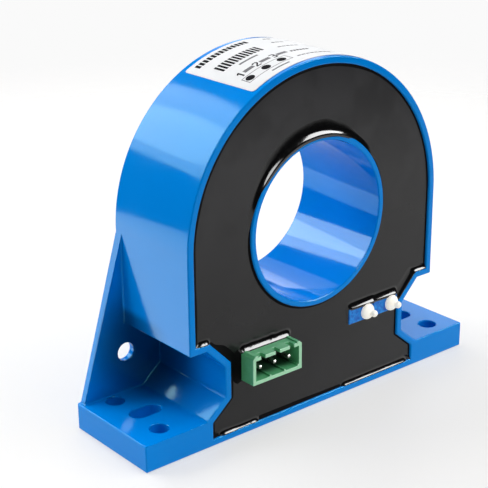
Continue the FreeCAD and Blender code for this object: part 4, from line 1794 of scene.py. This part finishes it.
@dataclass
class Studio:
    """The floor, the lights, the background and the camera."""

    position: Spot = (-230.84, -263.75, 176.85)
    right: Spot = (0.76967, -0.63838, -0.00881)
    down: Spot = (-0.23263, -0.26758, -0.93503)
    forward: Spot = (0.59455, 0.72172, -0.35445)
    lens: float = 98.079
    sensor: float = 36.0
    target: Spot = (0.0, 0.0, 45.0)
    floor_radius: float = 0.9
    floor_fade: Flat = (0.24, 0.45)
    floor_drop: float = 0.0002
    floor_colours: tuple[Colour, Colour] = (linear(171, 171, 170), linear(174, 173, 172))
    floor_lift: float = 1.15
    fill: float = 0.13
    mirror: float = 0.02
    background: Colour = linear(250, 250, 250)
    lights: tuple[Softbox, ...] = (
        Softbox("key_softbox", 135.0, 35.0, 1.1, 1.3, 0.9, 1.9, SeenBy.SURFACES),
        Softbox("key_mirror", 128.0, 36.0, 1.0, 0.6, 0.55, 21.0, SeenBy.MIRRORS),
        Softbox("front_mirror", 195.0, 27.0, 1.0, 0.5, 0.3, 15.0, SeenBy.MIRRORS),
        Softbox("left_softbox", -25.0, 31.5, 1.2, 1.6, 0.6, 5.9, SeenBy.SURFACES),
        Softbox("left_mirror", -30.9, 32.2, 1.0, 0.76, 0.485, 7.0, SeenBy.MIRRORS),
        Softbox("left_glint", -29.0, 31.0, 0.93, 0.26, 0.26, 5.0, SeenBy.MIRRORS),
        Softbox("back_panel", 40.0, 31.0, 1.2, 0.7, 0.7, 1.1),
        Softbox("back_mirror", 40.0, 20.5, 1.0, 0.6, 0.28, 1.1, SeenBy.MIRRORS),
        Softbox("top_panel", 170.0, 80.0, 1.0, 0.9, 0.9, 2.0, SeenBy.SURFACES),
    )
    table_glow: Glow = Glow("table_glow", (-0.2217, 0.1623), -29.2, 0.38, 0.15, 3.4)

    def build(self) -> None:
        """Set up everything round the part."""
        self.lay_floor()
        self.paint_world()
        for light in self.lights:
            light.build(Vector(self.target) * MM)
        self.table_glow.build()
        self.place_camera()
        bpy.context.scene.view_settings.view_transform = "Standard"

    def lay_floor(self) -> None:
        """Lay a large pale round floor that fades out into the background."""
        form = Form("studio_floor")
        form.loop(Plane.LEVEL.lift(circle(self.floor_radius / MM, (0.0, 0.0), 64), -self.floor_drop / MM))
        bpy.ops.mesh.edge_face_add()
        thing = form.close()
        made = bpy.data.materials.new("studio_floor")
        made.use_nodes = True
        net = Net(made.node_tree)
        shade = net.noise(3.0, 2.0).blend(*self.floor_colours)
        net.principled({
            "Base Color": shade,
            "Roughness": 0.55,
            "Specular IOR Level": 0.2,
            "Emission Color": shade,
            "Emission Strength": self.floor_lift,
            "Alpha": net.place().length().ramp(*self.floor_fade, 1.0, 0.0),
        })
        thing.data.materials.append(made)

    def paint_world(self) -> None:
        """Show white to the camera, a dark room to mirrors and an even fill to the rest."""
        world = bpy.data.worlds.new("studio")
        bpy.context.scene.world = world
        world.use_nodes = True
        net = Net(world.node_tree)
        path = net.node("ShaderNodeLightPath", output="Is Camera Ray")
        mirror = net.node("ShaderNodeLightPath", output="Is Glossy Ray")
        unseen = mirror.blend((self.fill,) * 3, (self.mirror,) * 3)
        colour = path.blend(unseen, self.background)
        shade = net.node("ShaderNodeBackground", {}, {"Color": colour, "Strength": 1.0})
        net.node("ShaderNodeOutputWorld", {}, {"Surface": shade})

    def place_camera(self) -> None:
        """Put the camera where the photograph was taken from."""
        data = bpy.data.cameras.new("camera")
        data.sensor_width = self.sensor
        data.sensor_fit = "HORIZONTAL"
        data.lens = self.lens
        thing = bpy.data.objects.new("camera", data)
        bpy.context.scene.collection.objects.link(thing)
        turn = Matrix((
            Vector(self.right), -Vector(self.down), -Vector(self.forward))).transposed()
        thing.matrix_world = Matrix.Translation(Vector(self.position) * MM) @ turn.to_4x4()
        bpy.context.scene.camera = thing


def main() -> None:
    """Build the scene."""
    logging.basicConfig(level=logging.INFO, format="%(name)s: %(message)s")
    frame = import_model()
    paint = Paint(FINISHES)
    for name, thing in frame["nodes"].items():
        for slot in thing.material_slots:
            wanted = slot.material.name.split(".")[0]
            LOG.info("%s: %s", name, wanted)
            if wanted in paint.by_name:
                slot.material = paint.by_name[wanted]
    housing = Housing(paint)
    fittings = Fittings(paint, nodes=frame["nodes"])
    for group in (housing, Potting(paint, housing=housing), Label(paint), fittings):
        group.build()
        LOG.info("%s built", type(group).__name__)
    Studio().build()


if __name__ == "__main__":
    main()
